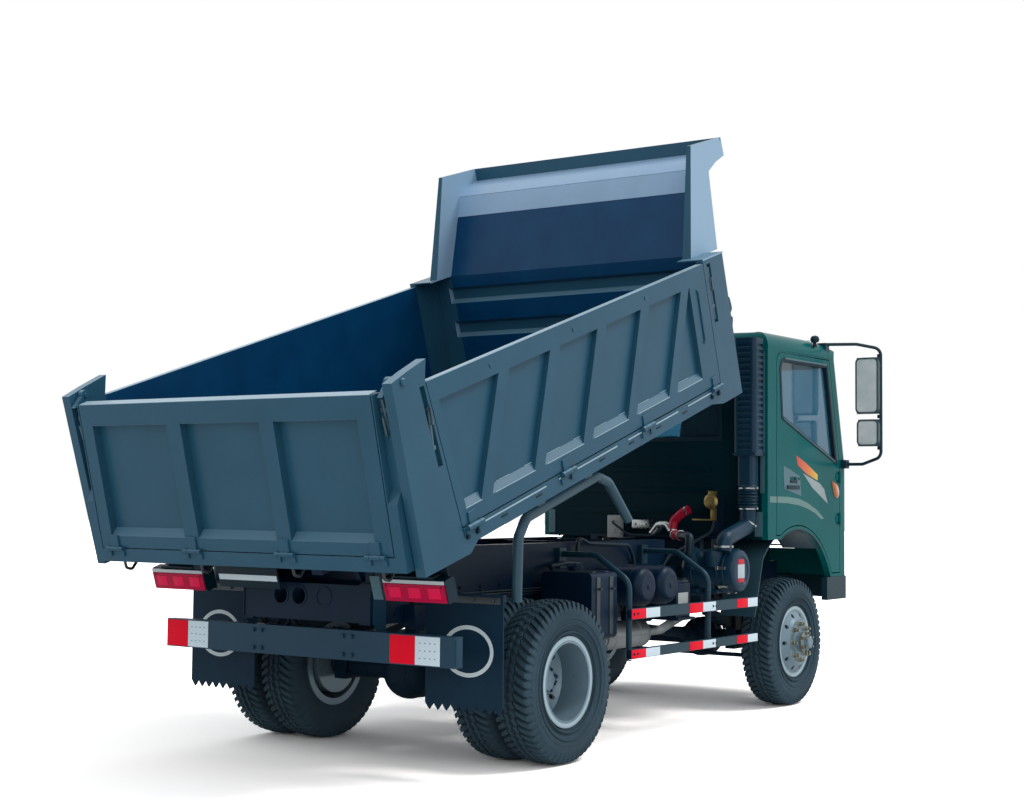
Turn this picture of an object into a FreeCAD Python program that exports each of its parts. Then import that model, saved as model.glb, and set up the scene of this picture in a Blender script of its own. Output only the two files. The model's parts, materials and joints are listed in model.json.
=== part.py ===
import FreeCAD, Part
import math
import os
from FreeCAD import Vector as V

# Light 4x4 dump truck with a forward-control cab and a three-way steel tipper body.
# Millimetres. X forward, Y left, Z up. It is drawn with the rear axle at x = 0 and the
# ground at z = 0, and moved at the end so that the origin is under the middle of its box.

# ---- running gear ----
WHEELBASE = 3020.0
TYRE_R = 420.0          # outside radius, to the tips of the lugs
TYRE_W = 225.0          # section width
FRONT_Y = 744.0         # middle of the front tyres
TWIN_Y = 780.0          # face where the twin rims bolt together
TWIN_STEP = 128.0       # from that face to the middle of each tyre
LUGS = 20               # on each side of the tread
LUG_H = 17.0
LUG_W = 66.0
LUG_LEAN = 24.0         # degrees from straight across the tread
LUG_INNER = 14.0        # how far a lug's inner end passes the middle of the tread
HAND_HOLES = 10         # round holes in a wheel disc
HAND_HOLE_R = 14.0
RIM_SEAT = 205.0        # radius that the tyre's bead sits on
RIM_HALF = 92.0         # half width over the flanges
RIM_WALL = 7.0
FLANGE_R = 234.0
FLANGE_T = 12.0
DISC_T = 12.0           # pressed wheel disc
HUB_R = 100.0
SPINDLE_R = 40.0
FIT = 0.05              # radial clearance of a pin or spindle in its bore
SEAT = 0.3              # gap between pieces that sit on each other
AXLE_R = 55.0
DIFF_R = 130.0
KINGPIN_Y = 614.0
KINGPIN_R = 18.0
YOKE_R = 42.0
YOKE_GAP = 85.0         # half the height between the yoke's arms
YOKE_T = 30.0
KNUCKLE_R = 58.0
STEER_ARM = 190.0       # tie-rod pin straight behind the kingpin
TIE_ROD_R = 14.0
DRUM_R = 150.0

# ---- ladder frame ----
RAIL_OUT = 425.0
RAIL_FLANGE = 70.0
RAIL_WEB = 8.0
RAIL_Z0 = 730.0
RAIL_H = 200.0
RAIL_X0 = -896.0
SUB_H = 174.0           # tipper subframe on top of the rails
SUB_X1 = 2000.0
SPRING_W = 70.0
REAR_SPRING_Y = 465.0
REAR_SPRING_HALF = 620.0
FRONT_SPRING_HALF = 540.0
SPRING_TIP_Z = 690.0
SPRING_T = 95.0         # leaf pack at the axle
LEAVES = 7

# ---- tipper body, in its own axes: u forward, w up from the tipping hinge ----
HINGE_X = -847.0
HINGE_Z = 980.0
TIP_ANGLE = 18.0        # degrees raised as drawn
TIP_PIN_R = 24.0
BED_HALF = 1079.0
BED_UNDER = 130.0       # underside of the long beams
BED_FLOOR = 275.0       # top of the floor plate
FLOOR_T = 6.0
CROSS_H = 79.0          # cross bearers under the floor
BEAM_W = 65.0
BED_FRONT = 2830.0      # front of the headboard's foot
WALL_TOP = 996.0
WALL_T = 45.0
SILL_W = 100.0
SILL_UNDER = 190.0
SILL_U0 = -90.0
POST_BACK = -422.0      # rear edge of the rear posts
POST_LOW = (-98.0, 263.0)       # front edge of a rear post at the sill: u, w
POST_HIGH = (-174.0, 1002.0)    # and above the top of the side board
POST_T = 54.0
POST_SLOT = 22.0        # depth of the slot in a post's outer face
FRONT_POST_L = 250.0
FRONT_POST_TOP = 1012.0
HINGE_PIN_R = 9.0
BOARD_HINGE_W = 272.0
BOARD_KNUCKLE_R = 14.0
BOARD_HINGES = 4
KNUCKLE_GAP = 15.0      # hinge line of a side board outside its face
HINGE_INSET = 75.0      # first and last hinge from the ends of the sill
KNUCKLE_L = 60.0        # length of a moving knuckle; the fixed ones are half as long
LAMP_U = -87.0          # rear face of the bearer that carries the tail lamps
BOARD_GAP = 6.0         # round the side boards and the tailgate
BOARD_FOOT = 285.0      # lower edge of a side board
RIBS = 5
RIB_PITCH = 467.0
RIB_U0 = 97.0           # rear edge of the first rib at its foot
RIB_W = 96.0
RIB_FOOT = 386.0
RIB_LEAN = 0.58         # the ribs lean forward, run over rise
REAR_STILE = 60.0
FRONT_STILE = 200.0
SKIN_T = 18.0
HEAD_T = 30.0
HEAD_TOP = 1654.0
WING_HALF_LOW = 965.0   # outer face of the headboard's side wings, at the wall top
WING_HALF_TOP = 936.0
WING_T = 28.0
SWAGES = (626.0, 853.0)         # lower edge of each swage on the headboard
SWAGE = (40.0, 60.0)            # depth and height of a swage

# ---- tailgate ----
GATE_TILT = 3.6         # degrees, foot outwards
GATE_TOP_U = -421.0     # outer face at the top edge
GATE_TOP_W = 1006.0
GATE_H = 816.0
GATE_T = 62.0
STILE_W = 59.0
DROP_H = 741.0          # height of the drop panel
GATE_HINGE = (-14.0, 744.0)     # hinge line of the drop panel: out of its face, down
GATE_HINGES = (-857.0, -305.0, 305.0, 857.0)
GATE_KNUCKLE_R = 10.0
GATE_PIN_FIT_R = 6.05
GATE_PIN_U = -330.0
GATE_PIN_W = 1036.0
GATE_PIN_R = 12.0

# ---- hoist ----
HOIST_X = 1020.0
HOIST_Z = 700.0
HOIST_U = 900.0         # rod eye on the body
HOIST_PIN_R = 20.0
BARREL_R = 70.0
BARREL_L = 860.0
ROD_R = 34.0

# ---- cab ----
CAB_HALF = 864.0
CAB_X0 = WHEELBASE - 450      # rear wall
CAB_X1 = WHEELBASE + 750      # front corner, where the front panel starts
CAB_NOSE = 160.0        # how far the middle of the front stands ahead of that corner
CAB_T = 45.0
CAB_FOOT = 1100.0
CAB_FRONT_FOOT = 830.0
FLOOR_Z = 1170.0
BELT_Z = 1600.0
HEADER_Z = 2340.0
ROOF_Z = 2466.0
RAKE = 0.24             # windscreen and front pillar lean, run over rise
ARCH_R = 575.0
ARCH_RISE = 167.5       # centre of the arch over the axle
DOOR_GAP = 7.0
DOOR_SKIN = 10.0        # outer panel; the shell behind it is smaller all round
DOOR_INSET = 12.0
DOOR_X0 = CAB_X0 + 130
DOOR_X1 = CAB_X1 - 80
DOOR_LIP = 30.0         # fixed strip between the arch and the door
DOOR_TOP = 2325.0
WINDOW_EDGE = 60.0
DOOR_HINGE_X = DOOR_X1 - 15
DOOR_HINGE_Y = CAB_HALF + 10
DOOR_HINGES = (1230.0, 1520.0)
DOOR_KNUCKLE_R = 9.0
DOOR_PIN_R = 5.0
GLASS_T = 6.0
GLASS_SIDE = 105.0      # windscreen edge from the cab's side
REAR_WINDOW = (-519.0, 519.0, 1760.0, 2170.0)   # y0, y1, z0, z1
GRILLE = (-440.0, 440.0, 1010.0, 1190.0)        # y0, y1, z0, z1
GRILLE_BARS = 4
HANDLE_X = DOOR_X0 + 190
HANDLE_Z = 1470.0
MIRROR_Y = CAB_HALF + 305
MIRROR_X = CAB_X1 - 70
SEAT_X = CAB_X0 + 150   # rear foot of the seats
ENGINE_X0 = CAB_X0 - 30
ENGINE_L = 790.0
GEARBOX_L = 690.0
RAIL_X1 = CAB_X1 - 170
LOUVRES = 18

# ---- equipment on the sides ----
TANK_Y = 844.0          # outer face of the tanks and the intake
GUARD_Y = 934.0         # outer face of the side guards
CLEANER_X = 1840.0
AIR_TANK_R = 112.0
BUMPER_X = -914.0
BUMPER = (-959.0, 959.0, 555.0, 702.0)          # y0, y1, z0, z1
BUMPER_T = 60.0
FLAP_X = -635.0         # rear face of the hanger
FLAP = (576.0, 1044.0, 316.0, 892.0)            # y0, y1, z0, z1
HOLE_Z = 858.0          # two round holes in the rear crossmember
HOLE_YS = (167.0, 44.0)
HOLE_R = 42.0

AXLE_Z = TYRE_R
RAIL_Z1 = RAIL_Z0 + RAIL_H
RAIL_IN = RAIL_OUT - RAIL_FLANGE
SUB_Z1 = RAIL_Z1 + SEAT + SUB_H
FRONT_POST = (BED_FRONT - 10 - FRONT_POST_L, BED_FRONT - 10)
HEAD_U0 = BED_FRONT - HEAD_T
GATE_HALF = BED_HALF - POST_T - BOARD_GAP
BOARD_HINGE = (BED_HALF + KNUCKLE_GAP, BOARD_HINGE_W)   # v, w
BED_TAIL = GATE_TOP_U + GATE_T - (GATE_TOP_W - BED_FLOOR) * math.tan(math.radians(GATE_TILT)) + 20


# ---------------------------------------------------------------- shapes

def box(x0, x1, y0, y1, z0, z1):
    return Part.makeBox(x1 - x0, y1 - y0, z1 - z0, V(x0, y0, z0))


def face(steps, place):
    """Flat face. A step is a point, or a pair of points: an arc through one to the other."""
    edges = []
    first = last = None
    for step in list(steps) + [steps[0]]:
        arc = isinstance(step[0], (tuple, list))
        end = place(*(step[1] if arc else step))
        if first is None:
            first = last = end
            continue
        if arc:
            edges.append(Part.Arc(last, place(*step[0]), end).toShape())
        elif (end - last).Length > 1e-6:
            edges.append(Part.LineSegment(last, end).toShape())
        last = end
    return Part.Face(Part.Wire(edges))


def side(steps, y0, y1):
    """Solid from an outline in x and z, between two y."""
    return face(steps, lambda x, z: V(x, y0, z)).extrude(V(0, y1 - y0, 0))


def plan(steps, z0, z1, lean=0.0):
    """Solid from an outline in x and y, between two z. It may lean back as it rises."""
    return face(steps, lambda x, y: V(x, y, z0)).extrude(V(-lean * (z1 - z0), 0, z1 - z0))


def across(steps, x0, x1):
    """Solid from an outline in y and z, between two x."""
    return face(steps, lambda y, z: V(x0, y, z)).extrude(V(x1 - x0, 0, 0))


def turned(steps, centre, axis):
    """Solid of revolution from an outline of (along the axis, radius)."""
    axis = V(axis).normalize()
    out = axis.cross(V(0, 0, 1) if abs(axis.z) < 0.9 else V(1, 0, 0)).normalize()
    flat = face(steps, lambda s, r: centre + axis * s + out * r)
    return flat.revolve(centre, axis, 360)


def rod(start, end, radius):
    run = end - start
    return Part.makeCylinder(radius, run.Length, start, run)


def tube(points, radius, bend):
    """Round bar along straight runs joined by tangent arcs."""
    edges = []
    start = points[0]
    for before, corner, after in zip(points, points[1:], points[2:]):
        a = (before - corner).normalize()
        b = (after - corner).normalize()
        half = a.getAngle(b) / 2
        reach = bend / math.tan(half)
        p = corner + a * reach
        q = corner + b * reach
        heart = corner + (a + b).normalize() * (bend / math.sin(half))
        mid = heart - (a + b).normalize() * bend
        edges.append(Part.LineSegment(start, p).toShape())
        edges.append(Part.Arc(p, mid, q).toShape())
        start = q
    edges.append(Part.LineSegment(start, points[-1]).toShape())
    ring = Part.Wire(Part.Circle(points[0], points[1] - points[0], radius).toShape())
    return Part.Wire(edges).makePipeShell([ring], True, True)


def fused(*solids):
    return solids[0].multiFuse(list(solids[1:])).removeSplitter()


def mirrored(shape):
    return shape.mirror(V(0, 0, 0), V(0, 1, 0))


def both(shape):
    return [shape, mirrored(shape)]


def tipped(shape):
    """From the body's own axes to the truck, raised as drawn."""
    moved = shape.copy()
    moved.rotate(V(0, 0, 0), V(0, 1, 0), -TIP_ANGLE)
    moved.translate(V(HINGE_X, 0, HINGE_Z))
    return moved


def hung(shape):
    """From the tailgate's axes, x outwards and z down from its top edge, to the body's."""
    moved = shape.copy()
    moved.rotate(V(0, 0, 0), V(0, 1, 0), GATE_TILT)
    moved.translate(V(GATE_TOP_U, 0, GATE_TOP_W))
    return moved


# ---------------------------------------------------------------- wheels

def tyre_blank():
    """Tyre about the origin, with slanted lugs in two rows, half a pitch apart."""
    half = TYRE_W / 2
    bead = RIM_HALF - FLANGE_T - SEAT
    bore = RIM_SEAT + SEAT
    neck = FLANGE_R + 4
    base = TYRE_R - LUG_H
    axis = V(0, 1, 0)
    halves = [(bead, bore), (bead, neck), (half - 12, neck + 34), (half, neck + 80),
              (half - 8, base - 52), (half - 32, base - 8), (half * 0.5, base)]
    carcass = turned([(-y, r) for y, r in halves] + halves[::-1], V(0, 0, 0), axis)
    edges = [(half - 26, TYRE_R - 78), (half - 2, TYRE_R - 74), (half - 5, TYRE_R - 30),
             (half - 24, TYRE_R - 6), (half * 0.5, TYRE_R)]
    tread = turned([(-y, r) for y, r in edges] + edges[::-1], V(0, 0, 0), axis)
    bar = box(-LUG_W / 2, LUG_W / 2, -LUG_INNER, half + LUG_W, TYRE_R - LUG_W, TYRE_R + LUG_H)
    bar.rotate(V(0, 0, 0), V(0, 0, 1), LUG_LEAN)
    lug = bar.common(tread)
    lugs = []
    for i in range(LUGS):
        for shape, turn in ((lug, i), (mirrored(lug), i + 0.5)):
            moved = shape.copy()
            moved.rotate(V(0, 0, 0), axis, turn * 360 / LUGS)
            lugs.append(moved)
    return carcass.multiFuse(lugs)


def placed(shape, x, y, z):
    moved = shape.copy()
    moved.translate(V(x, y, z))
    return moved


def hand_holes(y0, y1, radius, centre):
    """Cutters for the ring of holes in a wheel disc, between two planes across the axle."""
    out = []
    for i in range(HAND_HOLES):
        a = 2 * math.pi * i / HAND_HOLES
        x, z = centre.x + radius * math.cos(a), centre.z + radius * math.sin(a)
        out.append(rod(V(x, centre.y + y0, z), V(x, centre.y + y1, z), HAND_HOLE_R))
    return out


def rim_steps(mid, out):
    """Rim about mid. out is +1 or -1: the side on which its disc is joined on."""
    barrel = RIM_SEAT - RIM_WALL
    edge = RIM_HALF
    lip = RIM_HALF - FLANGE_T
    return [(mid + out * a, r) for a, r in
            ((-edge, FLANGE_R), (-lip, FLANGE_R), (-lip, RIM_SEAT), (lip, RIM_SEAT),
             (lip, FLANGE_R), (edge, FLANGE_R), (edge, barrel + 2))]


def front_wheel():
    barrel = RIM_SEAT - RIM_WALL
    face_s = TWIN_STEP
    rim = rim_steps(0, 1) + [(face_s - 15, 168), (face_s, DRUM_R), (face_s, HUB_R - 20),
                             (face_s - DISC_T, HUB_R - 20), (face_s - DISC_T, DRUM_R - 2),
                             (face_s - 25, 163), (RIM_HALF - 17, barrel), (-RIM_HALF, barrel)]
    bore = SPINDLE_R + FIT
    hub = [(-70, bore), (-70, DRUM_R), (15, DRUM_R), (15, 70), (face_s - 30, 70),
           (face_s - 30, HUB_R - 12), (face_s - 2, HUB_R - 12), (face_s + 8, 66),
           (face_s + 48, 60), (face_s + 56, 44), (face_s + 78, 40), (face_s + 84, 30),
           (face_s + 84, 0), (60, 0), (60, bore)]
    centre = V(0, FRONT_Y, AXLE_Z)
    axis = V(0, 1, 0)
    disc = turned(rim, centre, axis).cut(hand_holes(RIM_HALF - 40, face_s + 5, 178, centre))
    return fused(disc, turned(hub, centre, axis))


def twin_rims():
    barrel = RIM_SEAT - RIM_WALL
    near = TWIN_STEP - RIM_HALF

    def one(sign):
        steps = rim_steps(TWIN_STEP, -1)
        steps = steps[::-1] + [(TWIN_STEP + RIM_HALF, barrel), (near + 18, barrel),
                               (30, 178), (DISC_T, DRUM_R - 4), (DISC_T, HUB_R - 5),
                               (0, HUB_R - 5), (0, DRUM_R), (20, 184)]
        return [(sign * s, r) for s, r in steps]

    bore = SPINDLE_R + FIT
    foot = -TWIN_STEP - RIM_HALF - 8
    hub = [(foot, bore), (foot, DRUM_R + 14), (-115, DRUM_R + 14), (-115, HUB_R), (38, HUB_R),
           (38, 76), (96, 70), (104, 50), (104, 0), (62, 0), (62, bore)]
    centre = V(0, TWIN_Y, AXLE_Z)
    axis = V(0, 1, 0)
    holes = hand_holes(-60, 60, 172, centre)
    return fused(turned(one(1), centre, axis).cut(holes), turned(one(-1), centre, axis).cut(holes),
                 turned(hub, centre, axis))


# ---------------------------------------------------------------- axles and steering

def prop_shaft_line():
    start = V(ENGINE_X0 - GEARBOX_L, 0, 640)
    end = V(0, 0, AXLE_Z)
    return start, end, (start - end).normalize()


def front_shaft_line():
    start = V(ENGINE_X0 - GEARBOX_L + 50, -150, 560)
    end = V(WHEELBASE, -150, AXLE_Z)
    return start, end, (start - end).normalize()


def rear_axle():
    heart = V(0, 0, AXLE_Z)
    start, end, run = prop_shaft_line()
    foot = TWIN_Y - TWIN_STEP - RIM_HALF - 8 - 12
    bowl = turned([(-150, 0), (-150, 60), ((-95, 140), (0, 150)), ((95, 140), (150, 60)),
                   (150, 0)], heart, V(1, 0, 0))
    parts = [bowl, rod(V(0, -foot, AXLE_Z), V(0, foot, AXLE_Z), AXLE_R + 8),
             rod(heart, heart + run * 300, 62)]
    for s in (-1, 1):
        parts.append(rod(V(0, s * REAR_SPRING_Y, AXLE_Z), V(0, s * (TWIN_Y + 55), AXLE_Z),
                         SPINDLE_R))
        parts.append(box(-75, 75, s * REAR_SPRING_Y - SPRING_W / 2 - 5,
                         s * REAR_SPRING_Y + SPRING_W / 2 + 5,
                         AXLE_Z - AXLE_R - 20, AXLE_Z + AXLE_R + 12))
    return fused(*parts)


def yoke():
    """Fork on the left end of the front axle, which holds the kingpin above and below."""
    parts = [box(WHEELBASE - 45, WHEELBASE + 45, KINGPIN_Y - 100, KINGPIN_Y - 70,
                 AXLE_Z - YOKE_GAP - YOKE_T, AXLE_Z + YOKE_GAP + YOKE_T)]
    for z in (AXLE_Z + YOKE_GAP, AXLE_Z - YOKE_GAP - YOKE_T):
        arm = box(WHEELBASE - YOKE_R, WHEELBASE + YOKE_R, KINGPIN_Y - 100, KINGPIN_Y, z, z + YOKE_T)
        arm = arm.fuse(Part.makeCylinder(YOKE_R, YOKE_T, V(WHEELBASE, KINGPIN_Y, z)))
        hole = Part.makeCylinder(KINGPIN_R + FIT, YOKE_T, V(WHEELBASE, KINGPIN_Y, z))
        parts.append(arm.cut(hole))
    return fused(*parts)


def front_axle():
    start, end, run = front_shaft_line()
    heart = V(WHEELBASE, end.y, AXLE_Z)
    bowl = turned([(-DIFF_R, 0), (-DIFF_R, 55), ((-85, 115), (0, DIFF_R)),
                   ((85, 115), (DIFF_R, 55)), (DIFF_R, 0)], heart, V(1, 0, 0))
    ends = KINGPIN_Y - 90
    parts = [bowl, rod(V(WHEELBASE, -ends, AXLE_Z), V(WHEELBASE, ends, AXLE_Z), AXLE_R),
             rod(heart, heart + run * 260, 50)] + both(yoke())
    spring_y = (RAIL_OUT + RAIL_IN) / 2
    for s in (-1, 1):
        parts.append(box(WHEELBASE - 65, WHEELBASE + 65, s * spring_y - SPRING_W / 2,
                         s * spring_y + SPRING_W / 2, AXLE_Z - AXLE_R - 15,
                         AXLE_Z + AXLE_R + 12))
    return fused(*parts)


def knuckle():
    """Left steering knuckle: its post between the fork's arms, the spindle and the arm."""
    post_half = YOKE_GAP - 5
    post = Part.makeCylinder(KNUCKLE_R, 2 * post_half, V(WHEELBASE, KINGPIN_Y, AXLE_Z - post_half))
    pin = Part.makeCylinder(KINGPIN_R, 2 * (YOKE_GAP + YOKE_T - 3),
                            V(WHEELBASE, KINGPIN_Y, AXLE_Z - YOKE_GAP - YOKE_T + 3))
    spindle = rod(V(WHEELBASE, KINGPIN_Y, AXLE_Z), V(WHEELBASE, FRONT_Y + 55, AXLE_Z), SPINDLE_R)
    arm_y = KINGPIN_Y
    arm_x = WHEELBASE - STEER_ARM
    arm_z = AXLE_Z - 74
    arm = box(arm_x, WHEELBASE, arm_y - 15, arm_y + 15, arm_z, arm_z + 22)
    arm = arm.fuse(Part.makeCylinder(20, 22, V(arm_x, arm_y, arm_z)))
    hole = Part.makeCylinder(HINGE_PIN_R + FIT, 22, V(arm_x, arm_y, arm_z))
    return fused(post, pin, spindle, arm).cut(hole)


def tie_rod():
    y = KINGPIN_Y
    x = WHEELBASE - STEER_ARM
    z = AXLE_Z - 74 - 5 - TIE_ROD_R
    parts = [rod(V(x, -y, z), V(x, y, z), TIE_ROD_R)]
    for s in (-1, 1):
        parts.append(Part.makeCylinder(TIE_ROD_R + 1, 2 * TIE_ROD_R + 4, V(x, s * y, z - TIE_ROD_R - 2)))
        parts.append(Part.makeCylinder(HINGE_PIN_R, TIE_ROD_R + 5 + 20, V(x, s * y, z)))
    return fused(*parts)


def leaf_spring(x, y, half, seat_z):
    """Leaf pack on concentric arcs with its ends up: each leaf is shorter than the one above."""
    top = seat_z + SPRING_T
    rise = SPRING_TIP_Z - top
    radius = (half ** 2 + rise ** 2) / (2 * rise)
    leaf = SPRING_T / LEAVES
    heart = top + radius

    def at(r, reach):
        return (x + reach, heart - math.sqrt(r ** 2 - reach ** 2))

    leaves = []
    for i in range(LEAVES):
        inner, outer = radius + i * leaf, radius + (i + 1) * leaf
        reach = half * (1 - 0.8 * i / (LEAVES - 1))
        steps = [at(inner, -reach), (at(inner, 0), at(inner, reach)), at(outer, reach),
                 (at(outer, 0), at(outer, -reach))]
        leaves.append(side(steps, y - SPRING_W / 2, y + SPRING_W / 2))
    leaves.append(box(x - 60, x + 60, y - SPRING_W / 2, y + SPRING_W / 2, seat_z, seat_z + leaf))
    return fused(*leaves)


def springs():
    out = []
    front_y = (RAIL_OUT + RAIL_IN) / 2
    for s in (-1, 1):
        out.append(leaf_spring(0, s * REAR_SPRING_Y, REAR_SPRING_HALF,
                               AXLE_Z + AXLE_R + 12 + SEAT))
        out.append(leaf_spring(WHEELBASE, s * front_y, FRONT_SPRING_HALF,
                               AXLE_Z + AXLE_R + 12 + SEAT))
    return out


def spring_hangers():
    out = []
    z0 = SPRING_TIP_Z + SEAT
    for end in (-1, 1):
        x = end * (REAR_SPRING_HALF - 30)
        steps = [(x - 30, z0), (x + 30, z0), (x + 55, RAIL_Z0 + 90), (x - 55, RAIL_Z0 + 90)]
        out += both(side(steps, RAIL_OUT + SEAT, REAR_SPRING_Y + SPRING_W / 2))
        x = WHEELBASE + end * (FRONT_SPRING_HALF - 30)
        steps = [(x - 28, z0), (x + 28, z0), (x + 45, RAIL_Z0 - SEAT), (x - 45, RAIL_Z0 - SEAT)]
        out += both(side(steps, RAIL_IN, RAIL_OUT))
    return out


# ---------------------------------------------------------------- frame

def channel(z0, z1):
    """Section of a rail, open towards the middle of the truck."""
    tip, web = RAIL_IN, RAIL_OUT - RAIL_WEB
    return [(RAIL_OUT, z0), (tip, z0), (tip, z0 + RAIL_WEB), (web, z0 + RAIL_WEB),
            (web, z1 - RAIL_WEB), (tip, z1 - RAIL_WEB), (tip, z1), (RAIL_OUT, z1)]


def frame_rails():
    return both(across(channel(RAIL_Z0, RAIL_Z1), RAIL_X0, RAIL_X1))


def subframe():
    z0 = RAIL_Z1 + SEAT
    rail = across(channel(z0, SUB_Z1), HINGE_X - 33, SUB_X1)
    nose = box(HINGE_X - 33, HINGE_X + 60, RAIL_IN + 25, RAIL_OUT, z0, SUB_Z1)
    corner = side([(HINGE_X - 40, SUB_Z1 - 25), (HINGE_X - 40, SUB_Z1 + 5), (HINGE_X + 10, SUB_Z1 + 5),
                   (HINGE_X, SUB_Z1)], 0, RAIL_OUT + 5)
    hole = rod(V(HINGE_X, 0, HINGE_Z), V(HINGE_X, RAIL_OUT + 10, HINGE_Z), TIP_PIN_R + FIT)
    return both(fused(rail, nose).cut(corner).cut(hole))


def crossmember(x, z0, z1, depth=60.0):
    reach = RAIL_OUT - RAIL_WEB - SEAT
    return box(x, x + depth, -reach, reach, z0, z1)


def frame_crossmembers():
    z0, z1 = RAIL_Z0 + RAIL_WEB + SEAT, RAIL_Z1 - RAIL_WEB - SEAT
    tail = crossmember(RAIL_X0 + 5, z0, z1)
    for y in HOLE_YS:
        tail = tail.cut(rod(V(RAIL_X0, y, HOLE_Z), V(RAIL_X0 + 100, y, HOLE_Z), HOLE_R))
    out = [tail]
    for x in (-430.0, ENGINE_X0 - 1250, ENGINE_X0 - 800, RAIL_X1 - 120):
        out.append(crossmember(x, z0, z1))
    lug = side([(HOIST_X - 45, HOIST_Z), ((HOIST_X, HOIST_Z - 45), (HOIST_X + 40, HOIST_Z - 20)),
                (HOIST_X + 130, z0), (HOIST_X + 130, z1), (HOIST_X + 75, z1),
                (HOIST_X - 20, HOIST_Z + 40)], 48, 66)
    pin = rod(V(HOIST_X, -66, HOIST_Z), V(HOIST_X, 66, HOIST_Z), HOIST_PIN_R)
    out.append(fused(crossmember(HOIST_X + 75, z0, z1), lug, mirrored(lug), pin))
    s0, s1 = RAIL_Z1 + SEAT + RAIL_WEB + SEAT, SUB_Z1 - RAIL_WEB - SEAT
    for x in (HINGE_X + 87, -300.0, 1320.0, SUB_X1 - 100):
        out.append(crossmember(x, s0, s1, 50.0))
    return out


def rear_bumper():
    y0, y1, z0, z1 = BUMPER
    x0, x1 = BUMPER_X, BUMPER_X + BUMPER_T
    beam = box(x0, x1, y0, y1, z0, z1)
    arm = side([(x1 - 5, z0 + 17), (x1 + 68, z0 + 17), (x1 + 68, RAIL_Z1 - 30),
                (x1 - 22, RAIL_Z1 - 30), (x1 - 22, RAIL_Z0 + 10), (x1 - 5, z1 + 8)],
               RAIL_OUT + SEAT, RAIL_OUT + 12)
    return fused(beam, arm, mirrored(arm))


def flap_hanger():
    return box(FLAP_X, FLAP_X + 30, RAIL_OUT + SEAT, FLAP[1] - 10, FLAP[3] - 35, FLAP[3] - 5)


def mud_flap():
    """Rubber flap with a saw-tooth foot."""
    y0, y1, z0, z1 = FLAP
    teeth = 9
    step = (y1 - y0) / teeth
    foot = []
    for i in range(teeth):
        foot += [(y0 + i * step, z0 + 34), (y0 + (i + 0.5) * step, z0)]
    return across(foot + [(y1, z0 + 34), (y1, z1), (y0, z1)], FLAP_X - 10 - SEAT, FLAP_X - SEAT)


def side_guard():
    """Left guard: two rails on two bent posts."""
    y = GUARD_Y
    bar = 30.0
    parts = [box(742, 2282, y - bar, y, 692, 752), box(742, 2282, y - bar, y, 475, 528)]
    for x in (790.0, 1710.0):
        path = [V(x, y - bar - 15, 480), V(x, y - bar - 15, 900), V(x, y - 260, 1040),
                V(x, RAIL_OUT + 20, 1040)]
        parts.append(tube(path, 17, 90))
        parts.append(box(x - 35, x + 35, RAIL_OUT + SEAT, RAIL_OUT + 25, 960, 1075))
    return fused(*parts)


# ---------------------------------------------------------------- engine and side equipment

def engine():
    return box(ENGINE_X0, ENGINE_X0 + ENGINE_L, -270, 270, 630, 1090)


def driveline():
    start, end, run = prop_shaft_line()
    x0, x1 = ENGINE_X0 - GEARBOX_L, ENGINE_X0 - 1
    gearbox = side([(x0, 560), (x1 - 239, 560), (x1, 640), (x1, 900), (x1 - 239, 860), (x0, 760)],
                   -150, 150)
    case = box(x0 + 50, x0 + 250, -230, -60, 480, 760)
    rear = rod(end + run * (300 + SEAT), start, 38)
    f_start, f_end, f_run = front_shaft_line()
    front = rod(f_end + f_run * (260 + SEAT), f_start, 30)
    return fused(gearbox, case, rear, front)


def exhaust():
    y, z = -554.0, 560.0
    can = turned([(0, 0), (0, 60), (18, 80), (480, 80), (498, 60), (498, 0)], V(980, y, z),
                 V(1, 0, 0))
    pipe = tube([V(1460, y, z), V(1720, y, z), V(1960, y + 70, z + 20), V(2150, y + 80, z + 60),
                 V(ENGINE_X0 - 200, -240, 700), V(ENGINE_X0 - SEAT, -240, 700)], 27, 70)
    tail = tube([V(1000, y, z), V(900, y, z - 20), V(760, y, z - 20)], 27, 60)
    strap = box(1415, 1450, -RAIL_OUT - SEAT - 12, -RAIL_OUT - SEAT, z, 800)
    arm = box(1415, 1450, y, -RAIL_OUT - SEAT, z, z + 20)
    return fused(can, pipe, tail, strap, arm)


def rounded_box(x0, x1, y0, y1, z0, z1, radius, axis="x"):
    solid = box(x0, x1, y0, y1, z0, z1)
    picked = []
    for edge in solid.Edges:
        run = edge.Vertexes[0].Point - edge.Vertexes[1].Point
        if abs(getattr(run, axis)) > 1e-6:
            picked.append(edge)
    return solid.makeFillet(radius, picked)


def hydraulic_tank():
    inner = -REAR_SPRING_Y - SPRING_W / 2 - 15
    tank = rounded_box(470, 735, -TANK_Y, inner, 590, 955, 30)
    foot = box(660, 720, inner - 20, -RAIL_OUT - SEAT, 740, 900)
    return fused(tank, foot)


def fuel_tank():
    tank = rounded_box(900, 1620, RAIL_OUT + 40, TANK_Y, 560, 960, 60)
    feet = [box(x, x + 60, RAIL_OUT + SEAT, RAIL_OUT + 45, 740, 900) for x in (980, 1480)]
    return fused(tank, *feet)


def air_tanks():
    parts = []
    r, run = AIR_TANK_R, TANK_Y - 5 - RAIL_OUT - 60
    for x in (1090.0, 1350.0):
        can = [(0, 0), (0, r - 52), ((8, r - 20), (40, r)), (run - 40, r),
               ((run - 8, r - 20), (run, r - 52)), (run, 0)]
        parts.append(turned(can, V(x, -RAIL_OUT - 60, 856), V(0, -1, 0)))
    parts.append(box(1040, 1400, -RAIL_OUT - 160, -RAIL_OUT - SEAT, 738, 760))
    return fused(*parts)


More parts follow.
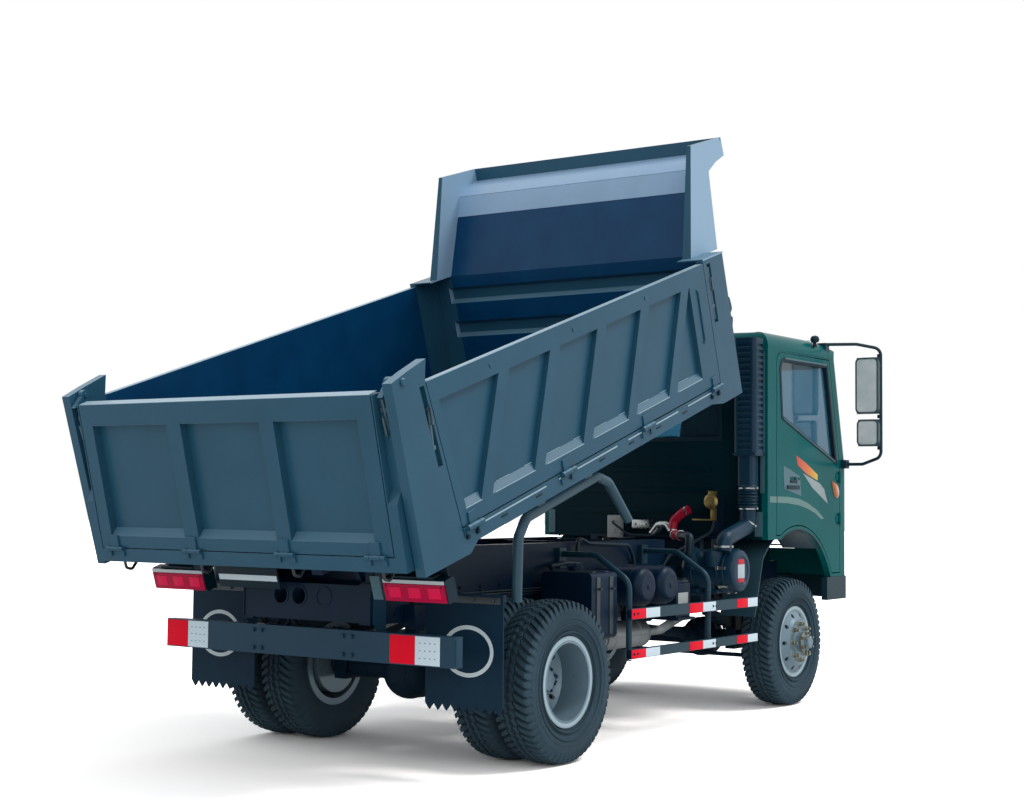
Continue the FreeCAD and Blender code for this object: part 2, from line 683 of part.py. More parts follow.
def battery_box():
    tray = box(1480, 1690, 30 - TANK_Y, -RAIL_OUT - SEAT, 640, 655)
    cells = rounded_box(1490, 1660, 50 - TANK_Y, -RAIL_OUT - 60, 650, 860, 12)
    return fused(tray, cells, box(1480, 1690, -RAIL_OUT - 20, -RAIL_OUT - SEAT, 640, 900))


def air_cleaner():
    y, z = 130 - TANK_Y, 905.0
    can = turned([(0, 0), (0, 118), (12, 128), (420, 128), (432, 140), (520, 140), (532, 128),
                  (532, 0)], V(CLEANER_X, y, z), V(1, -0.19, 0))
    arm = box(CLEANER_X + 120, CLEANER_X + 180, y + 40, -RAIL_OUT - SEAT, 880, 930)
    return fused(can, arm)


def air_intake(cleaner):
    """Louvred intake box behind the cab, its bellows and the duct to the cleaner."""
    x, y = CAB_X0 - 80, 85 - TANK_Y
    x0, y0, y1, z0, z1 = CAB_X0 - 145, -TANK_Y, 160 - TANK_Y, 1640.0, 2400.0
    chest = rounded_box(x0, CAB_X0 - SEAT, y0, y1, z0, z1, 30, "z")
    pitch = (z1 - z0 - 60) / LOUVRES
    slots = []
    for i in range(LOUVRES):
        z = z0 + 30 + i * pitch
        slots.append(across([(y0 - 1, z + 8), (y0 + 9, z + 20), (y0 + 9, z + pitch - 6),
                             (y0 - 1, z + pitch - 6)], x0 + 35, CAB_X0 - 35))
        slots.append(side([(x0 - 1, z + 8), (x0 + 9, z + 20), (x0 + 9, z + pitch - 6),
                           (x0 - 1, z + pitch - 6)], y0 + 35, y1 - 35))
    chest = chest.cut(slots)
    neck = rounded_box(x0 + 15, CAB_X0 - 20, y0 + 30, y1 - 20, z0 - 190, z0 + 10, 25, "z")
    folds = [(0, 0)]
    for i in range(7):
        folds += [(i * 22, 58), (i * 22 + 11, 70)]
    folds += [(154, 58), (154, 0)]
    bellows = turned(folds, V(x, y, 1300), V(0, 0, 1))
    duct = tube([V(x, y, 1310), V(x, y, 1190), V(CLEANER_X + 310, y - 10, 1110),
                 V(CLEANER_X + 290, y - 10, 1034)], 52, 55)
    return fused(chest, neck, bellows, duct).cut(cleaner)


# ---------------------------------------------------------------- cab

def nose_steps(back, inset, x_end=0.0):
    """Plan of the cab's front from one corner to the other, inset inwards."""
    w = CAB_HALF - inset
    x1 = CAB_X1
    return [(x1 - back, -w), (x1, -w), ((x1 + 78 - inset * 0.8, -w + 45), (x1 + 112 - inset, -w + 150)),
            ((x1 + CAB_NOSE - inset, 0), (x1 + 112 - inset, w - 150)),
            ((x1 + 78 - inset * 0.8, w - 45), (x1, w)), (x1 - back, w)]


def nose_band(z0, z1, lean=0.0, outer=0.0, inner=CAB_T, back=0.0):
    solid = plan(nose_steps(back, outer), z0, z1, lean)
    cut = plan(nose_steps(back + 10, inner), z0 - (1 if not lean else 0), z1 + (1 if not lean else 0),
               lean)
    return solid.cut(cut)


def cab_front():
    """Front panel under the windscreen, and the raked frame round the glass."""
    low = nose_band(CAB_FRONT_FOOT, BELT_Z)
    high = nose_band(BELT_Z, HEADER_Z, RAKE)
    side_y = CAB_HALF - GLASS_SIDE
    glass = box(CAB_X1 - 400, CAB_X1 + 300, -side_y, side_y, BELT_Z + 60, HEADER_Z - 55)
    y0, y1, z0, z1 = GRILLE
    grille = box(CAB_X1 + 40, CAB_X1 + 300, y0, y1, z0, z1)
    pitch = (z1 - z0) / GRILLE_BARS
    bars = []
    for i in range(GRILLE_BARS):
        z = z0 + (i + 0.5) * pitch
        bar = nose_band(z - 6, z + 6, outer=8.0, inner=24.0)
        bars.append(bar.common(box(CAB_X1, CAB_X1 + 300, y0 - 10, y1 + 10, z - 6, z + 6)))
    return fused(fused(low, high).cut(glass).cut(grille), *bars)


def windscreen():
    pane = nose_band(BELT_Z, HEADER_Z, RAKE, CAB_T / 2 - GLASS_T / 2, CAB_T / 2 + GLASS_T / 2)
    side_y = CAB_HALF - GLASS_SIDE - SEAT
    window = box(CAB_X1 - 400, CAB_X1 + 300, -side_y, side_y, BELT_Z + 60 + SEAT,
                 HEADER_Z - 55 - SEAT)
    return pane.common(window)


def arch_point(radius, z):
    return math.sqrt(radius ** 2 - (z - AXLE_Z - ARCH_RISE) ** 2)


def front_line(z):
    """x of the cab's front corner at a height."""
    return CAB_X1 - max(0.0, z - BELT_Z) * RAKE


def cab_side_steps():
    top = AXLE_Z + ARCH_RISE + ARCH_R
    return [(CAB_X0, CAB_FOOT), (WHEELBASE - arch_point(ARCH_R, CAB_FOOT), CAB_FOOT),
            ((WHEELBASE, top), (WHEELBASE + arch_point(ARCH_R, CAB_FRONT_FOOT), CAB_FRONT_FOOT)),
            (CAB_X1 - SEAT, CAB_FRONT_FOOT), (CAB_X1 - SEAT, BELT_Z),
            (front_line(HEADER_Z) - SEAT, HEADER_Z), (CAB_X0, HEADER_Z)]


def door_steps(grow=0.0):
    """Door outline, grown by the gap for the opening that it shuts."""
    lip = ARCH_R + DOOR_LIP - grow
    foot = CAB_FOOT + DOOR_LIP - grow
    front_foot = CAB_FRONT_FOOT + DOOR_LIP - grow
    x0, x1 = DOOR_X0 - grow, DOOR_X1 + grow
    top = DOOR_TOP + grow
    lean = (top - BELT_Z) * RAKE
    return [(x0, foot), (WHEELBASE - arch_point(lip, foot), foot),
            ((WHEELBASE, AXLE_Z + ARCH_RISE + lip),
             (WHEELBASE + arch_point(lip, front_foot), front_foot)),
            (x1, front_foot), (x1, BELT_Z), (x1 - lean, top), (x0 + 70, top),
            ((x0 + 22, top - 22), (x0, top - 70))]


def window_steps(inset=0.0):
    e = WINDOW_EDGE + inset
    x0, x1 = DOOR_X0 + e - 10, DOOR_X1 - e + 12
    sill_back, sill_front = 1900.0 + inset, 1620.0 + inset
    top = DOOR_TOP - e + 20
    return [(x0 + 30, sill_back), (x1 - (sill_front - BELT_Z) * RAKE, sill_front),
            (x1 - (top - BELT_Z) * RAKE, top), (x0 + 60, top), ((x0 + 16, top - 16), (x0, top - 60))]


def door_hinge(z, moving):
    """One hinge of the left door: the door's leaf and knuckle, or the cab's pair with the pin."""
    x, y, half = DOOR_HINGE_X, DOOR_HINGE_Y, KNUCKLE_L / 3

    def barrel(z0, z1, radius):
        return rod(V(x, y, z0), V(x, y, z1), radius)

    if moving:
        leaf = box(x - 45, x, CAB_HALF - 1, CAB_HALF + 5, z - half, z + half)
        hole = barrel(z - half - 1, z + half + 1, DOOR_PIN_R + FIT)
        return fused(barrel(z - half, z + half, DOOR_KNUCKLE_R), leaf).cut(hole)
    parts = [barrel(z - 2 * half, z + 2 * half, DOOR_PIN_R)]
    for s in (-1, 1):
        a, b = sorted((z + s * (half + 2), z + s * 2 * half))
        parts.append(barrel(a, b, DOOR_KNUCKLE_R))
        parts.append(box(x, x + 48, CAB_HALF + 2, CAB_HALF + 8, a, b))
        parts.append(box(x + 25, x + 48, CAB_HALF - 1, CAB_HALF + 8, a, b))
    return fused(*parts)


def cab_side():
    panel = side(cab_side_steps(), CAB_HALF - CAB_T, CAB_HALF).cut(
        side(door_steps(DOOR_GAP), CAB_HALF - CAB_T - 1, CAB_HALF + 1))
    return fused(panel, *[door_hinge(z, False) for z in DOOR_HINGES])


def door():
    skin = side(door_steps(), CAB_HALF - DOOR_SKIN, CAB_HALF)
    shell = side(door_steps(-DOOR_INSET), CAB_HALF - CAB_T + DOOR_GAP, CAB_HALF - DOOR_SKIN)
    x, z = HANDLE_X, HANDLE_Z
    pocket = side([(x, z), (x + 115, z), (x + 85, z + 42), (x + 14, z + 42)], CAB_HALF - 6,
                  CAB_HALF + 1)
    leaf = skin.fuse(shell).cut(pocket)
    leaf = leaf.cut(side(window_steps(), CAB_HALF - CAB_T - 1, CAB_HALF + 1))
    return fused(leaf, *[door_hinge(z, True) for z in DOOR_HINGES])


def door_glass():
    mid = CAB_HALF - CAB_T / 2
    return side(window_steps(SEAT), mid - GLASS_T / 2, mid + GLASS_T / 2)


def cab_floor():
    half = CAB_HALF - CAB_T - SEAT
    plate = box(CAB_X0 + CAB_T + SEAT, CAB_X1 - SEAT, -half, half, FLOOR_Z, FLOOR_Z + 30)
    parts = [plate]
    for s in (-1, 1):
        for x in (CAB_X0 + 60, CAB_X1 - 380):
            y = s * (RAIL_IN + RAIL_OUT) / 2
            parts.append(box(x, x + 110, y - 30, y + 30, RAIL_Z1 + SEAT, FLOOR_Z))
    return fused(*parts)


def cab_rear_wall():
    half = CAB_HALF - CAB_T - SEAT
    wall = box(CAB_X0, CAB_X0 + CAB_T, -half, half, CAB_FOOT, HEADER_Z - SEAT)
    return wall.cut(box(CAB_X0 - 1, CAB_X0 + CAB_T + 1, *REAR_WINDOW))


def rear_window():
    mid = CAB_X0 + CAB_T / 2
    y0, y1, z0, z1 = REAR_WINDOW
    return box(mid - GLASS_T / 2, mid + GLASS_T / 2, y0 + SEAT, y1 - SEAT, z0 + SEAT, z1 - SEAT)


def roof_form(inset):
    """Roof as the shape shared by its side, front and plan outlines."""
    z0 = HEADER_Z + SEAT
    top = ROOF_Z - inset
    x0 = CAB_X0 + inset
    x1 = CAB_X1 + CAB_NOSE - (HEADER_Z - BELT_Z) * RAKE - inset
    in_side = side([(x0, z0 - 1), (x0, z0 + 35), ((x0 + 30, top - 28), (x0 + 110, top - 6)),
                    ((x0 + 480, top), (x1 - 150, top - 62)), (x1, z0 + 8), (x1, z0 - 1)],
                   -CAB_HALF, CAB_HALF)
    w = CAB_HALF - inset
    in_front = across([(-w, z0 - 1), (-w, z0 + 20), ((-w + 28, top - 42), (-w + 130, top - 12)),
                       ((0, top), (w - 130, top - 12)), ((w - 28, top - 42), (w, z0 + 20)),
                       (w, z0 - 1)], CAB_X0 - 5, CAB_X1 + 300)
    shift = (HEADER_Z - BELT_Z) * RAKE
    outline = []
    for step in nose_steps(CAB_X1 - CAB_X0 - shift - inset, inset):
        if isinstance(step[0], tuple):
            outline.append(tuple((x - shift, y) for x, y in step))
        else:
            outline.append((step[0] - shift, step[1]))
    in_plan = plan(outline, z0 - 1, ROOF_Z + 5)
    return in_side.common(in_front).common(in_plan)


def cab_roof():
    z0 = HEADER_Z + SEAT
    whole = roof_form(0.0).cut(box(CAB_X0 - 50, CAB_X1 + CAB_NOSE + 50, -CAB_HALF - 50, CAB_HALF + 50,
                                   z0 - 50, z0))
    return whole.cut(roof_form(CAB_T))


def seats():
    out = []
    x, z = SEAT_X, FLOOR_Z + 30 + SEAT
    wide = CAB_HALF - CAB_T - 180
    for y0, y1 in ((wide - 470, wide), (-wide, -wide + 520)):
        steps = [(x, z), (x + 430, z), (x + 430, z + 260), (x + 495, z + 280),
                 ((x + 510, z + 330), (x + 470, z + 360)), (x + 130, z + 345), (x + 50, z + 480),
                 (x - 30, z + 940), ((x - 55, z + 980), (x - 80, z + 940)), (x, z + 300)]
        out.append(side(steps, y0, y1))
    return out


def dashboard():
    half = CAB_HALF - CAB_T - 10
    x1 = CAB_X1 - SEAT
    z = FLOOR_Z + 30 + SEAT
    dash = side([(x1 - 230, z), (x1, z), (x1, BELT_Z - 10), (x1 - 210, BELT_Z), (x1 - 270, BELT_Z - 60),
                 (x1 - 250, z + 180), (x1 - 170, z + 100), (x1 - 170, z + 60), (x1 - 230, z + 50)],
                -half, half)
    y = CAB_HALF - CAB_T - 415
    hub = V(x1 - 400, y, BELT_Z + 100)
    axis = V(-0.62, 0, 1).normalize()
    column = rod(V(x1 - 210, y, z + 200), hub, 28)
    ring = Part.makeTorus(205, 14, hub, axis)
    spokes = [rod(hub, hub + V(0, s * 205, 0), 9) for s in (-1, 1)]
    return fused(dash, column, ring, *spokes)


def front_bumper():
    out = -8.0
    band = plan(nose_steps(305, out), 674, CAB_FRONT_FOOT - SEAT).cut(
        plan(nose_steps(320, out + 42), 673, CAB_FRONT_FOOT))
    band = band.cut(box(CAB_X1 + CAB_NOSE - 60, CAB_X1 + 300, -360, 360, 715, 775))
    parts = [band]
    for s in (-1, 1):
        y = s * (RAIL_IN + RAIL_OUT) / 2
        parts.append(box(RAIL_X1 + SEAT, CAB_X1 + CAB_NOSE - 20, y - 30, y + 30, RAIL_Z0 + 5, 820))
    return fused(*parts)


def headlamps():
    lamp = box(CAB_X1 + 60, CAB_X1 + CAB_NOSE + 20, CAB_HALF - 360, CAB_HALF - 90, 900, 1060)
    shell = plan(nose_steps(0, -6), 900, 1060).cut(plan(nose_steps(20, -SEAT), 899, 1061))
    return both(shell.common(lamp))


def mudguard():
    """Left front mudguard: an arch under the floor and the slanted sheet behind the wheel."""
    r1 = FLOOR_Z - SEAT - AXLE_Z - ARCH_RISE
    r0 = r1 - 8
    zc = AXLE_Z + ARCH_RISE

    def at(radius, degrees):
        a = math.radians(degrees)
        return (WHEELBASE + radius * math.cos(a), zc + radius * math.sin(a))

    steps = [at(r0, 50), at(r1, 50), (at(r1, 95), at(r1, 138)), (WHEELBASE - 550, 610),
             (WHEELBASE - 542, 610),
             at(r0, 138), (at(r0, 95), at(r0, 50))]
    return side(steps, FRONT_Y - TYRE_W / 2 - 60, CAB_HALF - CAB_T - SEAT)


def mirror(roof):
    """Left mirrors: a bent tube from the roof edge to the belt, with two heads on it."""
    x, y = MIRROR_X, MIRROR_Y
    rim = HEADER_Z + 100
    path = [V(x - 195, CAB_HALF - 50, rim), V(x - 100, CAB_HALF + 170, rim), V(x, y, rim - 30),
            V(x, y, BELT_Z + 60), V(x + 45, CAB_HALF + 150, BELT_Z + 12),
            V(x + 45, CAB_HALF + 10, BELT_Z + 12)]
    parts = [tube(path, 11, 55)]
    head = rounded_box(x - 40, x + 35, y - 170, y, BELT_Z + 360, BELT_Z + 750, 25, "z")
    low = rounded_box(x - 40, x + 35, y - 160, y, BELT_Z + 135, BELT_Z + 320, 25, "z")
    top = box(x - 225, x - 165, CAB_HALF - 70, CAB_HALF - 5, rim - 60, rim + 8).cut(roof)
    foot = box(x + 12, CAB_X1 - 2, CAB_HALF + SEAT, CAB_HALF + 40, BELT_Z - 18, BELT_Z + 42)
    return fused(*(parts + [head, low, top, foot]))


# ---------------------------------------------------------------- tipper body

def post_edge(w):
    """u of the sloped front edge of a rear post at a height."""
    (u0, w0), (u1, w1) = POST_LOW, POST_HIGH
    return u0 + (w - w0) * (u1 - u0) / (w1 - w0)


def board_hinge_places():
    """u of the middle of each hinge of a side board."""
    first, last = SILL_U0 + HINGE_INSET, FRONT_POST[0] - HINGE_INSET
    return [first + (last - first) * i / (BOARD_HINGES - 1) for i in range(BOARD_HINGES)]


def board_hinge(u, moving):
    """One hinge on the left side: the board's knuckle and strap, or the rail's with the pin."""
    v, w = BOARD_HINGE
    strap = v - BOARD_KNUCKLE_R + 1
    if moving:
        knuckle = rod(V(u - KNUCKLE_L / 2, v, w), V(u + KNUCKLE_L / 2, v, w), BOARD_KNUCKLE_R)
        plate = box(u - KNUCKLE_L / 2, u + KNUCKLE_L / 2, strap, v - 7, w, BOARD_FOOT + 55)
        seat = box(u - KNUCKLE_L / 2, u + KNUCKLE_L / 2, BED_HALF, strap, BOARD_FOOT + 5,
                   BOARD_FOOT + 55)
        hole = rod(V(u - KNUCKLE_L, v, w), V(u + KNUCKLE_L, v, w), HINGE_PIN_R + FIT)
        return fused(knuckle, plate, seat).cut(hole)
    parts = [rod(V(u - KNUCKLE_L - 2, v, w), V(u + KNUCKLE_L + 2, v, w), HINGE_PIN_R)]
    for s in (-1, 1):
        a, b = sorted((u + s * (KNUCKLE_L / 2 + 2), u + s * (KNUCKLE_L + 2)))
        parts.append(rod(V(a, v, w), V(b, v, w), BOARD_KNUCKLE_R))
        parts.append(box(a, b, BED_HALF, v - 7, w - 50, w))
    return fused(*parts)


def bed_floor():
    """Floor plate with the fixed side rails under the boards and their hinges' fixed halves."""
    u0, u1 = BED_TAIL, HEAD_U0 - SEAT
    half = BED_HALF - SILL_W
    plate = box(u0, u1, -half, half, BED_FLOOR - FLOOR_T, BED_FLOOR)
    s0, s1 = SILL_U0 + SEAT, FRONT_POST[0] - SEAT
    rail = box(s0, s1, half, BED_HALF, SILL_UNDER, BED_FLOOR)
    rail = fused(rail, *[board_hinge(u, False) for u in board_hinge_places()])
    return fused(plate, rail, mirrored(rail))


def bed_frame():
    """Two long beams and the cross bearers, with the tipping ears and the hoist bracket."""
    w1 = BED_FLOOR - FLOOR_T - SEAT
    w0 = w1 - CROSS_H
    u0 = BED_TAIL + 5
    parts = []
    for s in (-1, 1):
        y = s * (RAIL_OUT - BEAM_W / 2)
        parts.append(box(u0, HEAD_U0 - 10, y - BEAM_W / 2, y + BEAM_W / 2, BED_UNDER, w0))
        ear = side([(-45, 0), ((0, -45), (45, 0)), (70, BED_UNDER + 5), (-90, BED_UNDER + 5)],
                   s * 340 - 14, s * 340 + 14)
        parts.append(ear)
        parts.append(box(-95, 75, s * 356 - 30, s * 356 + 30, BED_UNDER, BED_UNDER + 30))
        parts.append(rod(V(0, s * 326, 0), V(0, s * (RAIL_OUT + 4), 0), TIP_PIN_R))
    reach = BED_HALF - SILL_W - SEAT
    for u in (u0, LAMP_U, 540.0, 990.0, 1400.0, 1810.0, 2220.0, BED_FRONT - 270):
        parts.append(box(u, u + 50, -reach, reach, w0, w1))
    for s in (-1, 1):
        y = s * 72
        plate = side([(HOIST_U - 50, -10), ((HOIST_U, -55), (HOIST_U + 50, -10)),
                      (HOIST_U + 150, w1), (HOIST_U - 60, w1)], y - 11, y + 11)
        boss = rod(V(HOIST_U, s * 46, 0), V(HOIST_U, s * 70, 0), 30)
        parts += [plate, boss]
    parts.append(box(HOIST_U - 340, HOIST_U + 110, -83, -61, w0 + 10, w1))
    parts.append(box(HOIST_U - 340, HOIST_U + 110, 61, 83, w0 + 10, w1))
    return fused(*parts)


def rear_post():
    """Left rear post, with its cropped top that carries the tailgate's pin."""
    u0 = POST_BACK
    top = GATE_PIN_W + 62
    steps = [(u0, 157), (POST_LOW[0] + 29, 148), (POST_LOW[0] + 102, SILL_UNDER - SEAT),
             (SILL_U0, SILL_UNDER - SEAT), (SILL_U0, POST_LOW[1] - 40), POST_LOW, POST_HIGH,
             (POST_HIGH[0] + 34, top), (u0 + 129, top - 24), (u0 + 13, top - 47)]
    post = side(steps, BED_HALF - POST_T, BED_HALF)
    slot = side([(post_edge(590) - 58, 590), (post_edge(600) - 20, 600), (post_edge(985) - 14, 985),
                 (post_edge(985) - 50, 985)], BED_HALF - POST_SLOT, BED_HALF + 1)
    pin = rod(V(GATE_PIN_U, GATE_HALF - 38, GATE_PIN_W), V(GATE_PIN_U, BED_HALF, GATE_PIN_W), GATE_PIN_R)
    return fused(post.cut(slot), pin)


def front_post():
    u0, u1 = FRONT_POST
    steps = [(u0 - 142, SILL_UNDER - SEAT), (u0, 158), (u1, 158), (u1, FRONT_POST_TOP),
             (u0, FRONT_POST_TOP), (u0, SILL_UNDER - SEAT)]
    post = side(steps, BED_HALF - WALL_T + SEAT, BED_HALF)
    return post.cut(side([(u0 + 38, 635), (u0 + 83, 635), (u0 + 83, 985), (u0 + 38, 985)],
                         BED_HALF - POST_SLOT, BED_HALF + 1))


def headboard():
    """Front board with two swages, its side wings and the lip that guards the cab."""
    u, t = HEAD_U0, HEAD_T
    w0 = SILL_UNDER
    half = BED_HALF - WALL_T
    low = box(u, u + t, -half, half, w0, FRONT_POST_TOP + SEAT)
    for w in SWAGES:
        deep, high = SWAGE
        out = side([(u + t - 1, w - 22), (u + t + deep, w), (u + t + deep, w + high),
                    (u + t - 1, w + high + 22)], -half + 60, half - 60)
        pocket = side([(u - 1, w - 24), (u + deep, w), (u + deep, w + high),
                       (u - 1, w + high + 24)], -half + 90, half - 90)
        low = low.fuse(out).cut(pocket)
    foot = FRONT_POST_TOP + SEAT
    inner = [(u, foot), (u + 185, 1367), (u + 245, 1500), (u + 361, 1552), (u + 470, 1572),
             (u + 479, HEAD_TOP - 2)]
    outer = [(u + 489, HEAD_TOP - 2), (u + 489, 1539), (u + 372, 1518), (u + 262, 1478),
             (u + 216, 1357), (u + t, foot)]
    panel = side(inner + outer, -WING_HALF_LOW, WING_HALF_LOW)
    wing = [(u - 161, foot), (u + 95, HEAD_TOP), (u + 470, HEAD_TOP - 2), (u + 489, 1539),
            (u + 400, 1525), (u + 263, 1508), (u + 184, foot)]
    parts = [panel]
    for s in (-1, 1):
        a, b = sorted((s * (WING_HALF_TOP - WING_T), s * WING_HALF_LOW))
        parts.append(side(wing, a, b))
    taper = across([(-WING_HALF_LOW, foot), (WING_HALF_LOW, foot), (WING_HALF_TOP, HEAD_TOP + 5),
                    (-WING_HALF_TOP, HEAD_TOP + 5)], u - 200, u + 600)
    high = fused(*parts).common(taper)
    caps = []
    for s in (-1, 1):
        a, b = sorted((s * (WING_HALF_TOP - WING_T), s * BED_HALF))
        caps.append(box(FRONT_POST[0], u + t, a, b, foot, foot + 8))
    return fused(low, high, *caps)


def side_board():
    """Left drop side: skin, top rail, foot rail with a sloped ledge, and ribs."""
    u0, u1 = POST_HIGH[0] - BOARD_GAP, FRONT_POST[0] - BOARD_GAP
    r0, r1 = post_edge(BOARD_FOOT) + BOARD_GAP, post_edge(WALL_TOP) + BOARD_GAP
    v1 = BED_HALF
    v0 = v1 - WALL_T
    skin = box(u0, u1, v0, v0 + SKIN_T, BOARD_FOOT, WALL_TOP)
    top = box(u0, u1, v0, v1, WALL_TOP - 100, WALL_TOP)
    foot = across([(v0, BOARD_FOOT), (v1, BOARD_FOOT), (v1, BOARD_FOOT + 75),
                   (v0 + SKIN_T, BOARD_FOOT + 112), (v0, BOARD_FOOT + 112)], u0, u1)
    parts = [skin, top, foot]
    low, high = BOARD_FOOT + 60, WALL_TOP - 60
    for i in range(RIBS):
        a = RIB_U0 + i * RIB_PITCH + (low - RIB_FOOT) * RIB_LEAN
        b = a + (high - low) * RIB_LEAN
        steps = [(a, low), (a + RIB_W, low), (b + RIB_W, high), (b, high)]
        parts.append(side(steps, v0, v1))
    parts.append(side([(r0, BOARD_FOOT), (r0 + REAR_STILE, BOARD_FOOT), (r1 + REAR_STILE, WALL_TOP),
                       (r1, WALL_TOP)], v0, v1))
    parts.append(box(u1 - FRONT_STILE, u1, v0, v1, BOARD_FOOT, WALL_TOP))
    outline = [(r0, BOARD_FOOT), (u1, BOARD_FOOT), (u1, WALL_TOP), (r1, WALL_TOP)]
    board = fused(*parts).common(side(outline, v0, v1))
    return fused(board, *[board_hinge(u, True) for u in board_hinge_places()])


def gate_box(half0, half1, depth0, depth1, s0, s1):
    """Box on the tailgate: across from the middle, in from its outer face, down from its top."""
    return box(depth0, depth1, half0, half1, -s1, -s0)


def gate_hinge(v, moving):
    """One hinge of the drop panel, on the outside of the tailgate."""
    d, s = GATE_HINGE
    r, half = GATE_KNUCKLE_R, KNUCKLE_L / 2

    def bar(a, b, radius):
        return rod(V(d, a, -s), V(d, b, -s), radius)

    if moving:
        knuckle = fused(bar(v - half, v + half, r), gate_box(v - half, v + half, d + 4, d + 8, s - 70, s),
                        gate_box(v - half, v + half, d + 8, 0, s - 70, s - 8))
        return knuckle.cut(bar(v - 2 * half, v + 2 * half, GATE_PIN_FIT_R))
    parts = [bar(v - KNUCKLE_L, v + KNUCKLE_L, GATE_PIN_FIT_R - FIT)]
    for side_of in (-1, 1):
        a, b = sorted((v + side_of * (half + 2), v + side_of * KNUCKLE_L))
        parts.append(bar(a, b, r))
        parts.append(gate_box(a, b, d + 4, 0, s + 3, s + 40))
        parts.append(gate_box(a, b, d + 4, d + 8, s, s + 40))
    return fused(*parts)


def tailgate_frame():
    """Outer frame: two stiles and the foot strip, hung from two pins on the rear posts."""
    stile = gate_box(GATE_HALF - STILE_W, GATE_HALF, 0, GATE_T, 0, GATE_H)
    recess = side([(-1, 1), (-1, -500), (GATE_T - SKIN_T, -440), (GATE_T - SKIN_T, 1)],
                  GATE_HALF - STILE_W + 6, GATE_HALF + 1)
    stile = stile.cut(recess)
    foot = gate_box(-GATE_HALF, GATE_HALF, 0, GATE_T, DROP_H + BOARD_GAP, GATE_H)
    fixed = [gate_hinge(v, False) for v in GATE_HINGES]
    frame = hung(fused(stile, mirrored(stile), foot, *fixed))
    ear = side([(GATE_PIN_U - 28, GATE_PIN_W), ((GATE_PIN_U, GATE_PIN_W + 28),
                                                (GATE_PIN_U + 28, GATE_PIN_W)),
                (GATE_PIN_U - 4, GATE_TOP_W - 15), (GATE_TOP_U + 4, GATE_TOP_W - 15)],
               GATE_HALF - 30, GATE_HALF)
    ear = ear.cut(rod(V(GATE_PIN_U, 0, GATE_PIN_W), V(GATE_PIN_U, BED_HALF, GATE_PIN_W),
                      GATE_PIN_R + FIT))
    hole = rod(V(GATE_PIN_U, GATE_HALF - 40, GATE_PIN_W), V(GATE_PIN_U, GATE_HALF + 5, GATE_PIN_W),
               GATE_PIN_R + FIT)
    return fused(frame, ear, mirrored(ear)).cut(hole).cut(mirrored(hole))


def tailgate_panel():
    """Drop panel: skin, top rail, foot rail and four ribs."""
    half = GATE_HALF - STILE_W - BOARD_GAP
    skin = gate_box(-half, half, GATE_T - SKIN_T, GATE_T, 0, DROP_H)
    foot = DROP_H - 61
    parts = [skin, gate_box(-half, half, 0, GATE_T, 0, 108), gate_box(-half, half, 0, GATE_T, foot, DROP_H)]
    for v0, v1 in ((half - 77, half), (256, 350), (-353, -262), (-half, -half + 94)):
        parts.append(gate_box(v0, v1, 0, GATE_T, 0, DROP_H))
    ledge = side([(0, -foot), (GATE_T - SKIN_T, 35 - foot), (GATE_T - SKIN_T, -foot - 5),
                  (0, -foot - 5)], -half, half)
    parts.append(ledge)
    return hung(fused(*(parts + [gate_hinge(v, True) for v in GATE_HINGES])))


def fender_tube():
    """Left bent tube under the body over the rear wheels."""
    v = BED_HALF - 65
    w = SILL_UNDER - SEAT - 21
    path = [V(320, v, -184), V(463, v, 120), V(547, v, w), V(1151, v, w), V(1235, v, 117),
            V(1409, v, -170)]
    return tube(path, 21, 60)


def tail_lamp():
    """Left lamp cluster on its hanging bracket under the body."""
    u1 = LAMP_U - 6 - SEAT
    v1 = BED_HALF - 104
    lamp = rounded_box(u1 - 75, u1, v1 - 379, v1, -73, 45, 14, "y")
    plate = box(u1, u1 + 6, v1 - 325, v1 - 35, -55, BED_FLOOR - 20)
    return fused(lamp, plate)


def spare_wheel(tyre):
    """Spare on the front of the body, with its rim's disc towards the cab and its carrier."""
    v, w = -484.0, 600.0
    half = TYRE_W / 2
    centre = V(BED_FRONT + 160 + half, v, w)
    steps = [(-RIM_HALF, 40), (-RIM_HALF, FLANGE_R), (RIM_HALF, FLANGE_R), (RIM_HALF - 30, 170),
             (20, 120), (20, 40)]
    wheel = tyre.copy()
    wheel.rotate(V(0, 0, 0), V(0, 0, 1), -90)
    wheel.translate(centre)
    post = rod(V(BED_FRONT + SEAT, v, w - 62), V(centre.x + 60, v, w - 62), 38)
    hub = rod(V(centre.x - RIM_HALF - 12, v, w), V(centre.x + 60, v, w), 90)
    return fused(wheel, turned(steps, centre, V(1, 0, 0)), hub, post)


# ---------------------------------------------------------------- hoist

def hoist_run():
    """From the pin on the frame to the pin on the body, as drawn."""
    a = math.radians(TIP_ANGLE)
    foot = V(HOIST_X, 0, HOIST_Z)
    head = V(HINGE_X + HOIST_U * math.cos(a), 0, HINGE_Z + HOIST_U * math.sin(a))
    return foot, head


def hoist_barrel():
    foot, head = hoist_run()
    run = (head - foot).normalize()
    bore = HOIST_PIN_R + FIT
    body = rod(foot + run * 70, foot + run * BARREL_L, BARREL_R)
    body = body.cut(rod(foot + run * 150, foot + run * BARREL_L, ROD_R + FIT))
    neck = rod(foot + run * 20, foot + run * 80, 36)
    hole = rod(foot - V(0, 60, 0), foot + V(0, 60, 0), bore)
    ring = rod(foot - V(0, 42, 0), foot + V(0, 42, 0), 42)
    return fused(body, neck, ring).cut(hole)


def hoist_rod():
    foot, head = hoist_run()
    run = (head - foot).normalize()
    length = (head - foot).Length
    closed = 240.0
    bar = rod(foot + run * (length - BARREL_L + closed), head, ROD_R)
    ring = rod(head - V(0, 40, 0), head + V(0, 40, 0), 44)
    hole = rod(head - V(0, 60, 0), head + V(0, 60, 0), HOIST_PIN_R + FIT)
    return fused(bar, ring).cut(hole)


# ---------------------------------------------------------------- the truck

